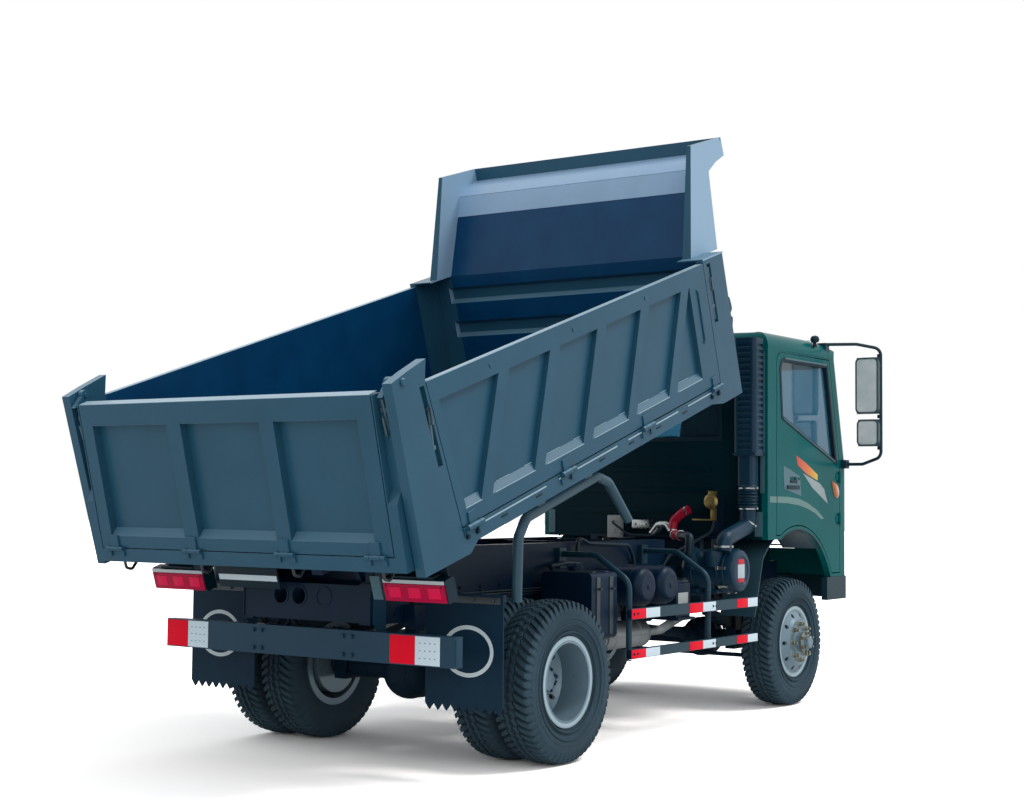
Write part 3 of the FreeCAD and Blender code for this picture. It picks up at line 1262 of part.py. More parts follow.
def truck():
    roof = cab_roof()
    cleaner = air_cleaner()
    tyre = tyre_blank()
    front_tyre = placed(tyre, WHEELBASE, FRONT_Y, AXLE_Z)
    front_rim = placed(front_wheel(), WHEELBASE, 0, 0)
    rear_tyres = [placed(tyre, 0, TWIN_Y + s * TWIN_STEP, AXLE_Z) for s in (-1, 1)]
    rims = twin_rims()
    nodes = {
        "frame_rails": frame_rails(),
        "frame_crossmembers": frame_crossmembers(),
        "subframe_rails": subframe(),
        "spring_hangers": spring_hangers(),
        "leaf_springs": springs(),
        "rear_axle": [rear_axle()],
        "front_axle": [front_axle()],
        "rear_bumper": [rear_bumper()],
        "flap_hangers": both(flap_hanger()),
        "mud_flaps": both(mud_flap()),
        "side_guards": both(side_guard()),
        "engine": [engine()],
        "driveline": [driveline()],
        "exhaust": [exhaust()],
        "hydraulic_tank": [hydraulic_tank()],
        "fuel_tank": [fuel_tank()],
        "air_tanks": [air_tanks()],
        "battery_box": [battery_box()],
        "air_cleaner": [cleaner],
        "air_intake": [air_intake(cleaner)],
        "cab_floor": [cab_floor()],
        "cab_rear_wall": [cab_rear_wall()],
        "cab_sides": both(cab_side()),
        "cab_front": [cab_front()],
        "cab_roof": [roof],
        "cab_glass": [windscreen(), rear_window()],
        "seats": seats(),
        "dashboard": [dashboard()],
        "front_bumper": [front_bumper()],
        "headlamps": headlamps(),
        "front_mudguards": both(mudguard()),
        "mirrors": both(mirror(roof)),
        "knuckle_left": [knuckle()],
        "knuckle_right": [mirrored(knuckle())],
        "tie_rod": [tie_rod()],
        "front_tyre_left": [front_tyre],
        "front_tyre_right": [mirrored(front_tyre)],
        "front_rim_left": [front_rim],
        "front_rim_right": [mirrored(front_rim)],
        "rear_tyres_left": rear_tyres,
        "rear_tyres_right": [mirrored(t) for t in rear_tyres],
        "rear_rims_left": [rims],
        "rear_rims_right": [mirrored(rims)],
        "door_left": [door()],
        "door_right": [mirrored(door())],
        "door_glass_left": [door_glass()],
        "door_glass_right": [mirrored(door_glass())],
        "hoist_barrel": [hoist_barrel()],
        "hoist_rod": [hoist_rod()],
    }
    body = {
        "bed_floor": [bed_floor()],
        "bed_frame": [bed_frame()],
        "bed_posts": both(rear_post()) + both(front_post()),
        "bed_headboard": [headboard()],
        "fender_tubes": both(fender_tube()),
        "tail_lamps": both(tail_lamp()),
        "spare_wheel": [spare_wheel(tyre)],
        "side_board_left": [side_board()],
        "side_board_right": [mirrored(side_board())],
        "tailgate_frame": [tailgate_frame()],
        "tailgate_panel": [tailgate_panel()],
    }
    for name, solids in body.items():
        nodes[name] = [tipped(s) for s in solids]
    return nodes


def main():
    os.makedirs("parts", exist_ok=True)
    nodes = {name: Part.makeCompound(solids) for name, solids in truck().items()}
    ends = [nodes[name].BoundBox for name in ("tailgate_frame", "bed_posts", "front_bumper")]
    middle = (min(b.XMin for b in ends) + max(b.XMax for b in ends)) / 2
    for name, shape in nodes.items():
        shape.translate(V(-middle, 0, 0))
        shape.exportStep("parts/" + name + ".step")
    print("rear axle at x = %.3f" % -middle)


main()
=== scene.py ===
import json
import math
import bmesh
import bpy
from mathutils import Matrix, Vector


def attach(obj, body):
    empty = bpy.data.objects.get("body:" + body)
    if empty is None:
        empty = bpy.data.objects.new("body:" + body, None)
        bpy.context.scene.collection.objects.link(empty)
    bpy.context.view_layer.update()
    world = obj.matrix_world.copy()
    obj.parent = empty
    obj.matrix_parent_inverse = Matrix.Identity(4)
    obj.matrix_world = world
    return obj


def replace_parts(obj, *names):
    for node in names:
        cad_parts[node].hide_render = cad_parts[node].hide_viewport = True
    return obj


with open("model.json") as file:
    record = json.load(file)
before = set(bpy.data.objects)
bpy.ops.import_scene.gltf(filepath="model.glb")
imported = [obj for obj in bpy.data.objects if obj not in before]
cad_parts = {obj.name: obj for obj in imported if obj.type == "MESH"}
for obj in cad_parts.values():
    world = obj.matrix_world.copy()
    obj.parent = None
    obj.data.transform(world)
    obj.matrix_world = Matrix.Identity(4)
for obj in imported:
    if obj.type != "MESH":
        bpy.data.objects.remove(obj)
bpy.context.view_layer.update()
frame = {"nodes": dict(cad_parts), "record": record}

# ---------------------------------------------------------------- studio
# A pale floor under soft daylight, with a brighter sky to the front right of the truck.
# The camera stands low behind the right rear corner, as a person with a long lens would.
hinges = {joint["name"]: joint for joint in frame["record"]["behaviour"]["joints"]}
rear_axle_x = hinges["wheels_rear_right_spin"]["pos_m"][0]


def truck(x, y, z):
    """Point on the truck, in metres forward of the rear axle, left of the middle and up."""
    return Vector((rear_axle_x + x, y, z))


camera_data = bpy.data.cameras.new("camera")
camera_data.lens = 58.87
camera_data.sensor_width = 36.0
camera_data.clip_end = 200.0
camera = bpy.data.objects.new("camera", camera_data)
bpy.context.scene.collection.objects.link(camera)
turn, lift, roll = (math.radians(a) for a in (34.86, 3.14, 0.49))
ahead = Vector((math.cos(lift) * math.cos(turn), math.cos(lift) * math.sin(turn), math.sin(lift)))
right = Vector((math.sin(turn), -math.cos(turn), 0.0))
above = right.cross(ahead)
across_view = math.cos(roll) * right + math.sin(roll) * above
up_view = -math.sin(roll) * right + math.cos(roll) * above
eye_matrix = Matrix((across_view, up_view, -ahead)).transposed().to_4x4()
eye_matrix.translation = truck(-7.2519, -5.6872, 1.3634)
camera.matrix_world = eye_matrix
bpy.context.scene.camera = camera
bpy.context.scene.view_settings.view_transform = "Standard"

sky = bpy.data.worlds.new("studio_sky")
bpy.context.scene.world = sky
sky.use_nodes = True
sky_tree = sky.node_tree
sky_tree.nodes.clear()
sky_out = sky_tree.nodes.new("ShaderNodeOutputWorld")
sky_mix = sky_tree.nodes.new("ShaderNodeMixShader")
soft_sky = sky_tree.nodes.new("ShaderNodeBackground")
soft_sky.inputs["Color"].default_value = (0.90, 0.96, 1.0, 1.0)
soft_sky.inputs["Strength"].default_value = 0.62
plain_sky = sky_tree.nodes.new("ShaderNodeBackground")
plain_sky.inputs["Color"].default_value = (1.0, 1.0, 1.0, 1.0)
plain_sky.inputs["Strength"].default_value = 1.0
sky_path = sky_tree.nodes.new("ShaderNodeLightPath")
seen = sky_tree.nodes.new("ShaderNodeMath")
seen.operation = "MAXIMUM"
seen_too = sky_tree.nodes.new("ShaderNodeMath")
seen_too.operation = "MAXIMUM"
sky_tree.links.new(sky_path.outputs["Is Camera Ray"], seen.inputs[0])
sky_tree.links.new(sky_path.outputs["Is Glossy Ray"], seen.inputs[1])
sky_tree.links.new(seen.outputs[0], seen_too.inputs[0])
sky_tree.links.new(sky_path.outputs["Is Transmission Ray"], seen_too.inputs[1])
sky_tree.links.new(seen_too.outputs[0], sky_mix.inputs[0])
sky_tree.links.new(soft_sky.outputs[0], sky_mix.inputs[1])
sky_tree.links.new(plain_sky.outputs[0], sky_mix.inputs[2])
sky_tree.links.new(sky_mix.outputs[0], sky_out.inputs["Surface"])

for lamp_name, lamp_from, lamp_strength, lamp_spread in (
        ("key_sun", (0.55, -0.62, 1.15), 1.35, 22.0), ("fill_sun", (-0.9, -0.5, 0.55), 0.35, 50.0)):
    sun_data = bpy.data.lights.new(lamp_name, "SUN")
    sun_data.energy = lamp_strength
    sun_data.angle = math.radians(lamp_spread)
    sun = bpy.data.objects.new(lamp_name, sun_data)
    sun.rotation_euler = Vector(lamp_from).to_track_quat("Z", "Y").to_euler()
    bpy.context.scene.collection.objects.link(sun)

floor_mesh = bpy.data.meshes.new("studio_floor")
floor_mesh.from_pydata([(-40, -40, 0), (60, -40, 0), (60, 60, 0), (-40, 60, 0)], [], [(0, 1, 2, 3)])
studio_floor = bpy.data.objects.new("studio_floor", floor_mesh)
bpy.context.scene.collection.objects.link(studio_floor)
floor_paint = bpy.data.materials.new("studio_floor")
floor_paint.use_nodes = True
floor_tree = floor_paint.node_tree
floor_tree.nodes.clear()
floor_out = floor_tree.nodes.new("ShaderNodeOutputMaterial")
floor_diffuse = floor_tree.nodes.new("ShaderNodeBsdfDiffuse")
floor_diffuse.inputs["Color"].default_value = (0.80, 0.78, 0.76, 1.0)
floor_seen = floor_tree.nodes.new("ShaderNodeBsdfDiffuse")
floor_seen.inputs["Color"].default_value = (2.14, 2.02, 1.94, 1.0)
floor_pick = floor_tree.nodes.new("ShaderNodeMixShader")
floor_path = floor_tree.nodes.new("ShaderNodeLightPath")
floor_tree.links.new(floor_path.outputs["Is Camera Ray"], floor_pick.inputs[0])
floor_tree.links.new(floor_diffuse.outputs[0], floor_pick.inputs[1])
floor_tree.links.new(floor_seen.outputs[0], floor_pick.inputs[2])
floor_tree.links.new(floor_pick.outputs[0], floor_out.inputs["Surface"])
floor_mesh.materials.append(floor_paint)

# ---------------------------------------------------------------- ladder frame
# Two pressed steel channels with riveted crossmembers, and the tipper's own subframe clamped on
# top. All of it is dipped and sprayed in one coat of satin chassis black.


def finish_coat(name, colour, rough, metal=0.0, shade=0.12, grain=0.0, grain_size=400.0, gloss=0.5,
                clear=0.0, dust=0.0, lit_top=None, flank=None):
    """Paint, plastic, rubber or metal: uneven colour, sheen and grain, and optional painted light.
    """
    made = bpy.data.materials.new(name)
    made.use_nodes = True
    tree = made.node_tree
    skin = tree.nodes["Principled BSDF"]
    place = tree.nodes.new("ShaderNodeTexCoord")
    patches = tree.nodes.new("ShaderNodeTexNoise")
    patches.inputs["Scale"].default_value = 3.1
    patches.inputs["Detail"].default_value = 6.0
    patches.inputs["Roughness"].default_value = 0.62
    tree.links.new(place.outputs["Object"], patches.inputs["Vector"])
    tones = tree.nodes.new("ShaderNodeValToRGB")
    tones.color_ramp.elements[0].position = 0.3
    tones.color_ramp.elements[1].position = 0.72
    tones.color_ramp.elements[0].color = (*[c * (1.0 - shade) for c in colour], 1.0)
    tones.color_ramp.elements[1].color = (*[min(1.0, c * (1.0 + shade) + 0.002) for c in colour],
                                          1.0)
    tree.links.new(patches.outputs["Fac"], tones.inputs["Fac"])
    last_colour = tones.outputs["Color"]
    if dust:
        height = tree.nodes.new("ShaderNodeSeparateXYZ")
        tree.links.new(place.outputs["Object"], height.inputs[0])
        low = tree.nodes.new("ShaderNodeMapRange")
        low.inputs["From Min"].default_value = 0.75
        low.inputs["From Max"].default_value = 0.05
        low.inputs["To Min"].default_value = 0.0
        low.inputs["To Max"].default_value = dust
        tree.links.new(height.outputs["Z"], low.inputs["Value"])
        specks = tree.nodes.new("ShaderNodeTexNoise")
        specks.inputs["Scale"].default_value = 60.0
        specks.inputs["Detail"].default_value = 8.0
        tree.links.new(place.outputs["Object"], specks.inputs["Vector"])
        spread = tree.nodes.new("ShaderNodeMath")
        spread.operation = "MULTIPLY"
        tree.links.new(low.outputs[0], spread.inputs[0])
        tree.links.new(specks.outputs["Fac"], spread.inputs[1])
        dusty = tree.nodes.new("ShaderNodeMix")
        dusty.data_type = "RGBA"
        dusty.inputs[7].default_value = (0.10, 0.14, 0.16, 1.0)
        tree.links.new(spread.outputs[0], dusty.inputs[0])
        tree.links.new(last_colour, dusty.inputs[6])
        last_colour = dusty.outputs[2]
    # Painted light: faces that look up are mixed toward a paler colour, as if lit from above.
    if lit_top:
        facing = tree.nodes.new("ShaderNodeSeparateXYZ")
        tree.links.new(place.outputs["Normal"], facing.inputs[0])
        level = tree.nodes.new("ShaderNodeMapRange")
        level.inputs["From Min"].default_value = 0.35
        level.inputs["From Max"].default_value = 0.80
        tree.links.new(facing.outputs["Z"], level.inputs["Value"])
        lit = tree.nodes.new("ShaderNodeMix")
        lit.data_type = "RGBA"
        lit.inputs[7].default_value = (*lit_top, 1.0)
        tree.links.new(level.outputs[0], lit.inputs[0])
        tree.links.new(last_colour, lit.inputs[6])
        last_colour = lit.outputs[2]
    # Painted light: faces that look sideways along Y are mixed toward the flank colour.
    if flank:
        sideways = tree.nodes.new("ShaderNodeVectorMath")
        sideways.operation = "ABSOLUTE"
        tree.links.new(place.outputs["Normal"], sideways.inputs[0])
        facing_side = tree.nodes.new("ShaderNodeSeparateXYZ")
        tree.links.new(sideways.outputs[0], facing_side.inputs[0])
        side_level = tree.nodes.new("ShaderNodeMapRange")
        side_level.inputs["From Min"].default_value = 0.75
        side_level.inputs["From Max"].default_value = 0.90
        tree.links.new(facing_side.outputs["Y"], side_level.inputs["Value"])
        side_light = tree.nodes.new("ShaderNodeMix")
        side_light.data_type = "RGBA"
        side_light.inputs[7].default_value = (*flank, 1.0)
        tree.links.new(side_level.outputs[0], side_light.inputs[0])
        tree.links.new(last_colour, side_light.inputs[6])
        last_colour = side_light.outputs[2]
    tree.links.new(last_colour, skin.inputs["Base Color"])
    fine = tree.nodes.new("ShaderNodeTexNoise")
    fine.inputs["Scale"].default_value = 34.0
    fine.inputs["Detail"].default_value = 4.0
    tree.links.new(place.outputs["Object"], fine.inputs["Vector"])
    sheen = tree.nodes.new("ShaderNodeMapRange")
    sheen.inputs["To Min"].default_value = max(0.02, rough - 0.07)
    sheen.inputs["To Max"].default_value = min(1.0, rough + 0.07)
    tree.links.new(fine.outputs["Fac"], sheen.inputs["Value"])
    tree.links.new(sheen.outputs[0], skin.inputs["Roughness"])
    skin.inputs["Metallic"].default_value = metal
    skin.inputs["Specular IOR Level"].default_value = gloss
    skin.inputs["Coat Weight"].default_value = clear
    skin.inputs["Coat Roughness"].default_value = 0.05
    if grain:
        peel = tree.nodes.new("ShaderNodeTexNoise")
        peel.inputs["Scale"].default_value = grain_size
        peel.inputs["Detail"].default_value = 2.0
        tree.links.new(place.outputs["Object"], peel.inputs["Vector"])
        relief = tree.nodes.new("ShaderNodeBump")
        relief.inputs["Strength"].default_value = grain
        relief.inputs["Distance"].default_value = 0.0006
        tree.links.new(peel.outputs["Fac"], relief.inputs["Height"])
        tree.links.new(relief.outputs["Normal"], skin.inputs["Normal"])
    return made


def paint_nodes(coat, *names):
    """Gives CAD nodes a finish in place of their plain one."""
    for name in names:
        mesh = frame["nodes"][name].data
        if not mesh.materials:
            mesh.materials.append(coat)
        for i in range(len(mesh.materials)):
            mesh.materials[i] = coat


chassis_black = finish_coat("chassis_black", (0.0008, 0.015, 0.040), 0.40, gloss=0.16, grain=0.25,
                            dust=0.10)
paint_nodes(chassis_black, "frame_rails", "frame_crossmembers", "subframe_rails", "spring_hangers")


def frame_along(axis, up=(0.0, 0.0, 1.0)):
    """Turns local Z to an axis."""
    z = Vector(axis).normalized()
    x = Vector(up).cross(z)
    if x.length < 1e-3:
        x = Vector((1.0, 0.0, 0.0)).cross(z)
    x.normalize()
    return Matrix((x, z.cross(x), z)).transposed()


def bar(kit, middle, size, soft=0.003, turn=None):
    """Rolled or folded bar with its edges rounded off."""
    grown = bmesh.ops.create_cube(kit, size=1.0)["verts"]
    place = Matrix.Translation(Vector(middle)) @ (turn or Matrix.Identity(3)).to_4x4()
    place = place @ Matrix.Diagonal((size[0], size[1], size[2], 1.0))
    for vert in grown:
        vert.co = place @ vert.co
    edges = list({edge for vert in grown for edge in vert.link_edges})
    soft = min(soft, 0.3 * min(size))
    bmesh.ops.bevel(kit, geom=edges, offset=soft, segments=2, profile=0.7, affect="EDGES")


def lathed(kit, foot, axis, outline, steps=28, twist=0.0):
    """Spun or forged round form. The outline is pairs of (along the axis, radius)."""
    turn = frame_along(axis)
    rings = []
    for along, radius in outline:
        if radius < 1e-6:
            rings.append([kit.verts.new(Vector(foot) + turn @ Vector((0.0, 0.0, along)))])
            continue
        ring = []
        for i in range(steps):
            a = twist + 2 * math.pi * i / steps
            ring.append(kit.verts.new(Vector(foot) + turn @ Vector(
                (radius * math.cos(a), radius * math.sin(a), along))))
        rings.append(ring)
    for low, high in zip(rings, rings[1:]):
        for i in range(steps):
            j = (i + 1) % steps
            corners = [low[i % len(low)], low[j % len(low)], high[j % len(high)],
                       high[i % len(high)]]
            corners = [c for n, c in enumerate(corners) if c not in corners[:n]]
            if len(corners) > 2:
                kit.faces.new(corners)


def bolt(kit, foot, axis, across_flats=0.017, height=0.010):
    """Hexagon head on its washer."""
    r = across_flats / 2
    lathed(kit, foot, axis, [(0.0, r * 1.55), (0.002, r * 1.5), (0.0022, 0.0)], 18)
    lathed(kit, foot, axis,
           [(0.002, r * 1.12), (height * 0.8, r * 1.12), (height, r * 0.9), (height, 0.0)], 6)


def bent_pipe(kit, points, radius, bend=0.05, sides=14):
    """Tube along straight runs with swept corners."""
    points = [Vector(p) for p in points]
    path = [points[0]]
    for before, corner, after in zip(points, points[1:], points[2:]):
        a, b = (before - corner), (after - corner)
        half = a.angle(b) / 2
        reach = min(bend / math.tan(half), 0.49 * a.length, 0.49 * b.length)
        p, q = corner + a.normalized() * reach, corner + b.normalized() * reach
        for i in range(7):
            t = i / 6
            path.append((1 - t) ** 2 * p + 2 * t * (1 - t) * corner + t * t * q)
    path.append(points[-1])
    rings = []
    side_way = frame_along(path[1] - path[0]).col[0].copy()
    for i, spot in enumerate(path):
        run = (path[min(i + 1, len(path) - 1)] - path[max(i - 1, 0)]).normalized()
        side_way = (side_way - run * side_way.dot(run)).normalized()
        other = run.cross(side_way)
        rings.append([kit.verts.new(spot + radius * (math.cos(a) * side_way + math.sin(a) * other))
                      for a in (2 * math.pi * k / sides for k in range(sides))])
    for low, high in zip(rings, rings[1:]):
        for k in range(sides):
            m = (k + 1) % sides
            kit.faces.new((low[k], low[m], high[m], high[k]))
    kit.faces.new(rings[0][::-1])
    kit.faces.new(rings[-1])


def cut_sheet(kit, outline, place, thick):
    """Flat sheet of any outline, thick along the third axis of its place."""
    low = [kit.verts.new(place @ Vector((x, y, 0.0))) for x, y in outline]
    high = [kit.verts.new(place @ Vector((x, y, thick))) for x, y in outline]
    kit.faces.new(low[::-1])
    kit.faces.new(high)
    for i in range(len(low)):
        j = (i + 1) % len(low)
        kit.faces.new((low[i], low[j], high[j], high[i]))


def put_on(kit, name, coat, body, sharp=32.0):
    """Makes the piece from its mesh and hangs it on a body of the truck."""
    bmesh.ops.recalc_face_normals(kit, faces=kit.faces)
    mesh = bpy.data.meshes.new(name)
    kit.to_mesh(mesh)
    kit.free()
    mesh.materials.append(coat)
    for face in mesh.polygons:
        face.use_smooth = True
    mesh.set_sharp_from_angle(angle=math.radians(sharp))
    piece = bpy.data.objects.new(name, mesh)
    bpy.context.scene.collection.objects.link(piece)
    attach(piece, body)
    return piece


rail_side, rail_foot, rail_head = 0.425, 0.730, 0.930
rail_bolts = bmesh.new()
for side in (-1, 1):
    for x in [-0.70 + 0.18 * i for i in range(24)]:
        if 1.02 < x < 1.10 or 1.45 < x < 1.55:
            continue
        for z in (rail_foot + 0.045, rail_head - 0.045):
            bolt(rail_bolts, truck(x, side * (rail_side + 0.0005), z), (0, side, 0), 0.015, 0.008)
put_on(rail_bolts, "rail_bolts", chassis_black, "chassis")

# Brake and air lines: black nylon tubes clipped along the outside of the right rail.
hose_black = finish_coat("hose_black", (0.006, 0.026, 0.045), 0.42, gloss=0.3, grain=0.3)
air_lines = bmesh.new()
for drop, start, end in ((0.0, -0.55, 1.95), (0.014, -0.35, 2.3), (0.028, 0.1, 2.2)):
    y, z = -rail_side - 0.012, rail_head - 0.075 - drop
    bent_pipe(air_lines,
              [truck(start - 0.05, y + 0.005, z - 0.12), truck(start, y, z), truck(end, y, z),
               truck(end + 0.12, y - 0.03, z - 0.08)], 0.0055, 0.04, 8)
for x in [-0.3 + 0.32 * i for i in range(8)]:
    bar(air_lines, truck(x, -rail_side - 0.010, rail_head - 0.089), (0.016, 0.017, 0.052), 0.002)
put_on(air_lines, "air_lines", hose_black, "chassis")

# The tail crossmember carries a plain lower bar, two struts and the light harness.
tail_bar = bmesh.new()
bar(tail_bar, truck(-0.868, 0.0, 0.742), (0.040, 0.68, 0.012), 0.002)
for y in (-0.33, 0.33):
    bar(tail_bar, truck(-0.872, y, 0.82), (0.034, 0.012, 0.16), 0.002)
for y in (0.167, 0.044, -0.12):
    lathed(tail_bar, truck(-0.8912, y, 0.858), (-1, 0, 0),
           [(0.0, 0.054), (0.003, 0.053), (0.003, 0.0435), (0.0, 0.0425)], 32)
put_on(tail_bar, "tail_bar", chassis_black, "chassis")

# ---------------------------------------------------------------- springs, axles and steering
# Forged and cast pieces in the same black, a little rougher where the sand-cast skin shows.
# Each spring is clamped to its axle by two U-bolts over a forged plate.
cast_black = finish_coat("cast_black", (0.001, 0.016, 0.038), 0.55, gloss=0.15, grain=0.6,
                         grain_size=260.0, dust=0.12)
paint_nodes(cast_black, "leaf_springs", "rear_axle", "front_axle", "knuckle_left", "knuckle_right",
            "tie_rod")
wheelbase = hinges["wheel_front_right_spin"]["pos_m"][0] - rear_axle_x
axle_z = hinges["wheels_rear_right_spin"]["pos_m"][2]
clamps = bmesh.new()
for x, y, pad in ((0.0, 0.465, 0.080), (0.0, -0.465, 0.080), (wheelbase, 0.39, 0.070),
                  (wheelbase, -0.39, 0.070)):
    top = axle_z + 0.067 + 0.097
    bar(clamps, truck(x, y, top + 0.010), (0.17, 0.084, 0.018), 0.004)
    for dx in (-pad, pad):
        for dy in (-0.042, 0.042):
            bent_pipe(clamps,
                      [truck(x + dx, y + dy, axle_z - 0.02), truck(x + dx, y + dy, top + 0.05)],
                      0.0075, 0.01, 10)
            bolt(clamps, truck(x + dx, y + dy, top + 0.019), (0, 0, 1), 0.024, 0.018)
put_on(clamps, "spring_clamps", cast_black, "chassis")
spring_eyes = bmesh.new()
for x0, y, half in ((0.0, 0.465, 0.62), (0.0, -0.465, 0.62), (wheelbase, 0.39, 0.54),
                    (wheelbase, -0.39, 0.54)):
    for end in (-1, 1):
        lathed(spring_eyes, truck(x0 + end * (half - 0.012), y - 0.0352, 0.678), (0, 1, 0),
               [(0, 0.0), (0, 0.021), (0.0704, 0.021), (0.0704, 0.0)], 20)
        for s in (-1, 1):
            lathed(spring_eyes, truck(x0 + end * (half - 0.012), y + s * 0.0352, 0.678), (0, s, 0),
                   [(0, 0.013), (0.008, 0.012), (0.009, 0.0)], 12)
put_on(spring_eyes, "spring_eyes", cast_black, "chassis")
axle_bolts = bmesh.new()
for x, y in ((0.0, 0.0), (wheelbase, -0.15)):
    radius = 0.128 if x == 0.0 else 0.108
    for i in range(10):
        a = 2 * math.pi * i / 10 + 0.2
        bolt(axle_bolts,
             truck(x - 0.100, y + radius * 0.93 * math.cos(a),
                   axle_z + radius * 0.93 * math.sin(a)), (-1, 0, 0), 0.016, 0.010)
    lathed(axle_bolts, truck(x - 0.138, y, axle_z), (-1, 0, 0),
           [(0.0, 0.07), (0.014, 0.06), (0.016, 0.0)], 24)
put_on(axle_bolts, "axle_bolts", cast_black, "chassis")

# ---------------------------------------------------------------- wheels
# Pressed steel rims in silver lacquer, singles in front and twins behind, on lugged tyres.
# The front hubs are the driven kind, with a flange of plated nuts; the rear hubs are cast iron.
rim_silver = finish_coat("rim_silver", (0.19, 0.28, 0.34), 0.30, metal=0.25, shade=0.10, gloss=0.4,
                         clear=0.1, grain=0.1)
paint_nodes(rim_silver, "front_rim_left", "front_rim_right", "rear_rims_left", "rear_rims_right")
tyre_rubber = finish_coat("tyre_rubber", (0.030, 0.062, 0.088), 0.70, shade=0.25, gloss=0.2,
                          grain=0.5, grain_size=300.0, dust=0.18)
paint_nodes(tyre_rubber, "front_tyre_left", "front_tyre_right", "rear_tyres_left",
            "rear_tyres_right")
nut_plated = finish_coat("nut_plated", (0.34, 0.33, 0.26), 0.3, metal=0.85, shade=0.35)
tyre_half = 0.1125
# The rim's raised flange ring is painted paler than the rim, as a painted highlight.
flange_highlight = finish_coat("flange_highlight", (0.42, 0.55, 0.61), 0.34, shade=0.06, gloss=0.3)


def treaded_tyre(kit, middle, pitches=58):
    """Tyre with a row of slanted blocks on each shoulder and two zigzag grooves between."""
    flank = [(0.084, 0.2130, 0.0), (0.085, 0.238, 0.0), (0.096, 0.262, 0.0), (0.1085, 0.296, 0.0),
             (0.1120, 0.330, 0.0), (0.1090, 0.358, 0.0), (0.1080, 0.3610, 0.006),
             (0.1050, 0.388, 0.017), (0.0955, 0.4080, 0.021), (0.0700, 0.4145, 0.020),
             (0.0400, 0.4170, 0.018), (0.0380, 0.4010, 0.0), (0.0310, 0.4010, 0.0),
             (0.0290, 0.4192, 0.006), (0.0110, 0.4197, 0.006), (0.0090, 0.4030, 0.0),
             (0.0, 0.4030, 0.0)]
    rows = []
    for side_of in (1, -1):
        part = flank if side_of > 0 else flank[-2::-1]
        rows += [(side_of * y, r, cut, side_of) for y, r, cut in part]
    rings = []
    for i in range(pitches):
        for share, grooved in ((0.0, False), (0.54, False), (0.61, True), (0.93, True)):
            ring = []
            for y, r, cut, side_of in rows:
                slant = 0.70 * max(0.0, abs(y) - 0.040) / 0.05 + (0.5 if side_of < 0 else 0.0)
                waved = 0.004 < abs(y) < 0.043
                wave = 0.0050 * math.cos(2 * math.pi * (i + share)) if waved else 0.0
                a = 2 * math.pi * (i + share + slant) / pitches
                depth = r - (cut if grooved else 0.0)
                offset = Vector((depth * math.cos(a), y + wave, depth * math.sin(a)))
                ring.append(kit.verts.new(middle + offset))
            rings.append(ring)
    for low, high in zip(rings, rings[1:] + rings[:1]):
        for k in range(len(rows) - 1):
            kit.faces.new((low[k], low[k + 1], high[k + 1], high[k]))


def moulded_rings(kit, hub, face_y, way):
    """Raised rings that the mould leaves on a sidewall, and the rim of the bead."""
    for low, high, proud in ((0.252, 0.258, 0.003), (0.292, 0.296, 0.0022), (0.322, 0.325, 0.0018)):
        swell = face_y - way * 0.0065 * (1.0 if high < 0.26 else 0.0)
        lathed(kit, Vector((hub.x, swell, hub.z)), (0, way, 0),
               [(-0.006, low - 0.002), (proud * 0.6, low), (proud, (low + high) / 2),
                (proud * 0.6, high), (-0.006, high + 0.002)], 72)


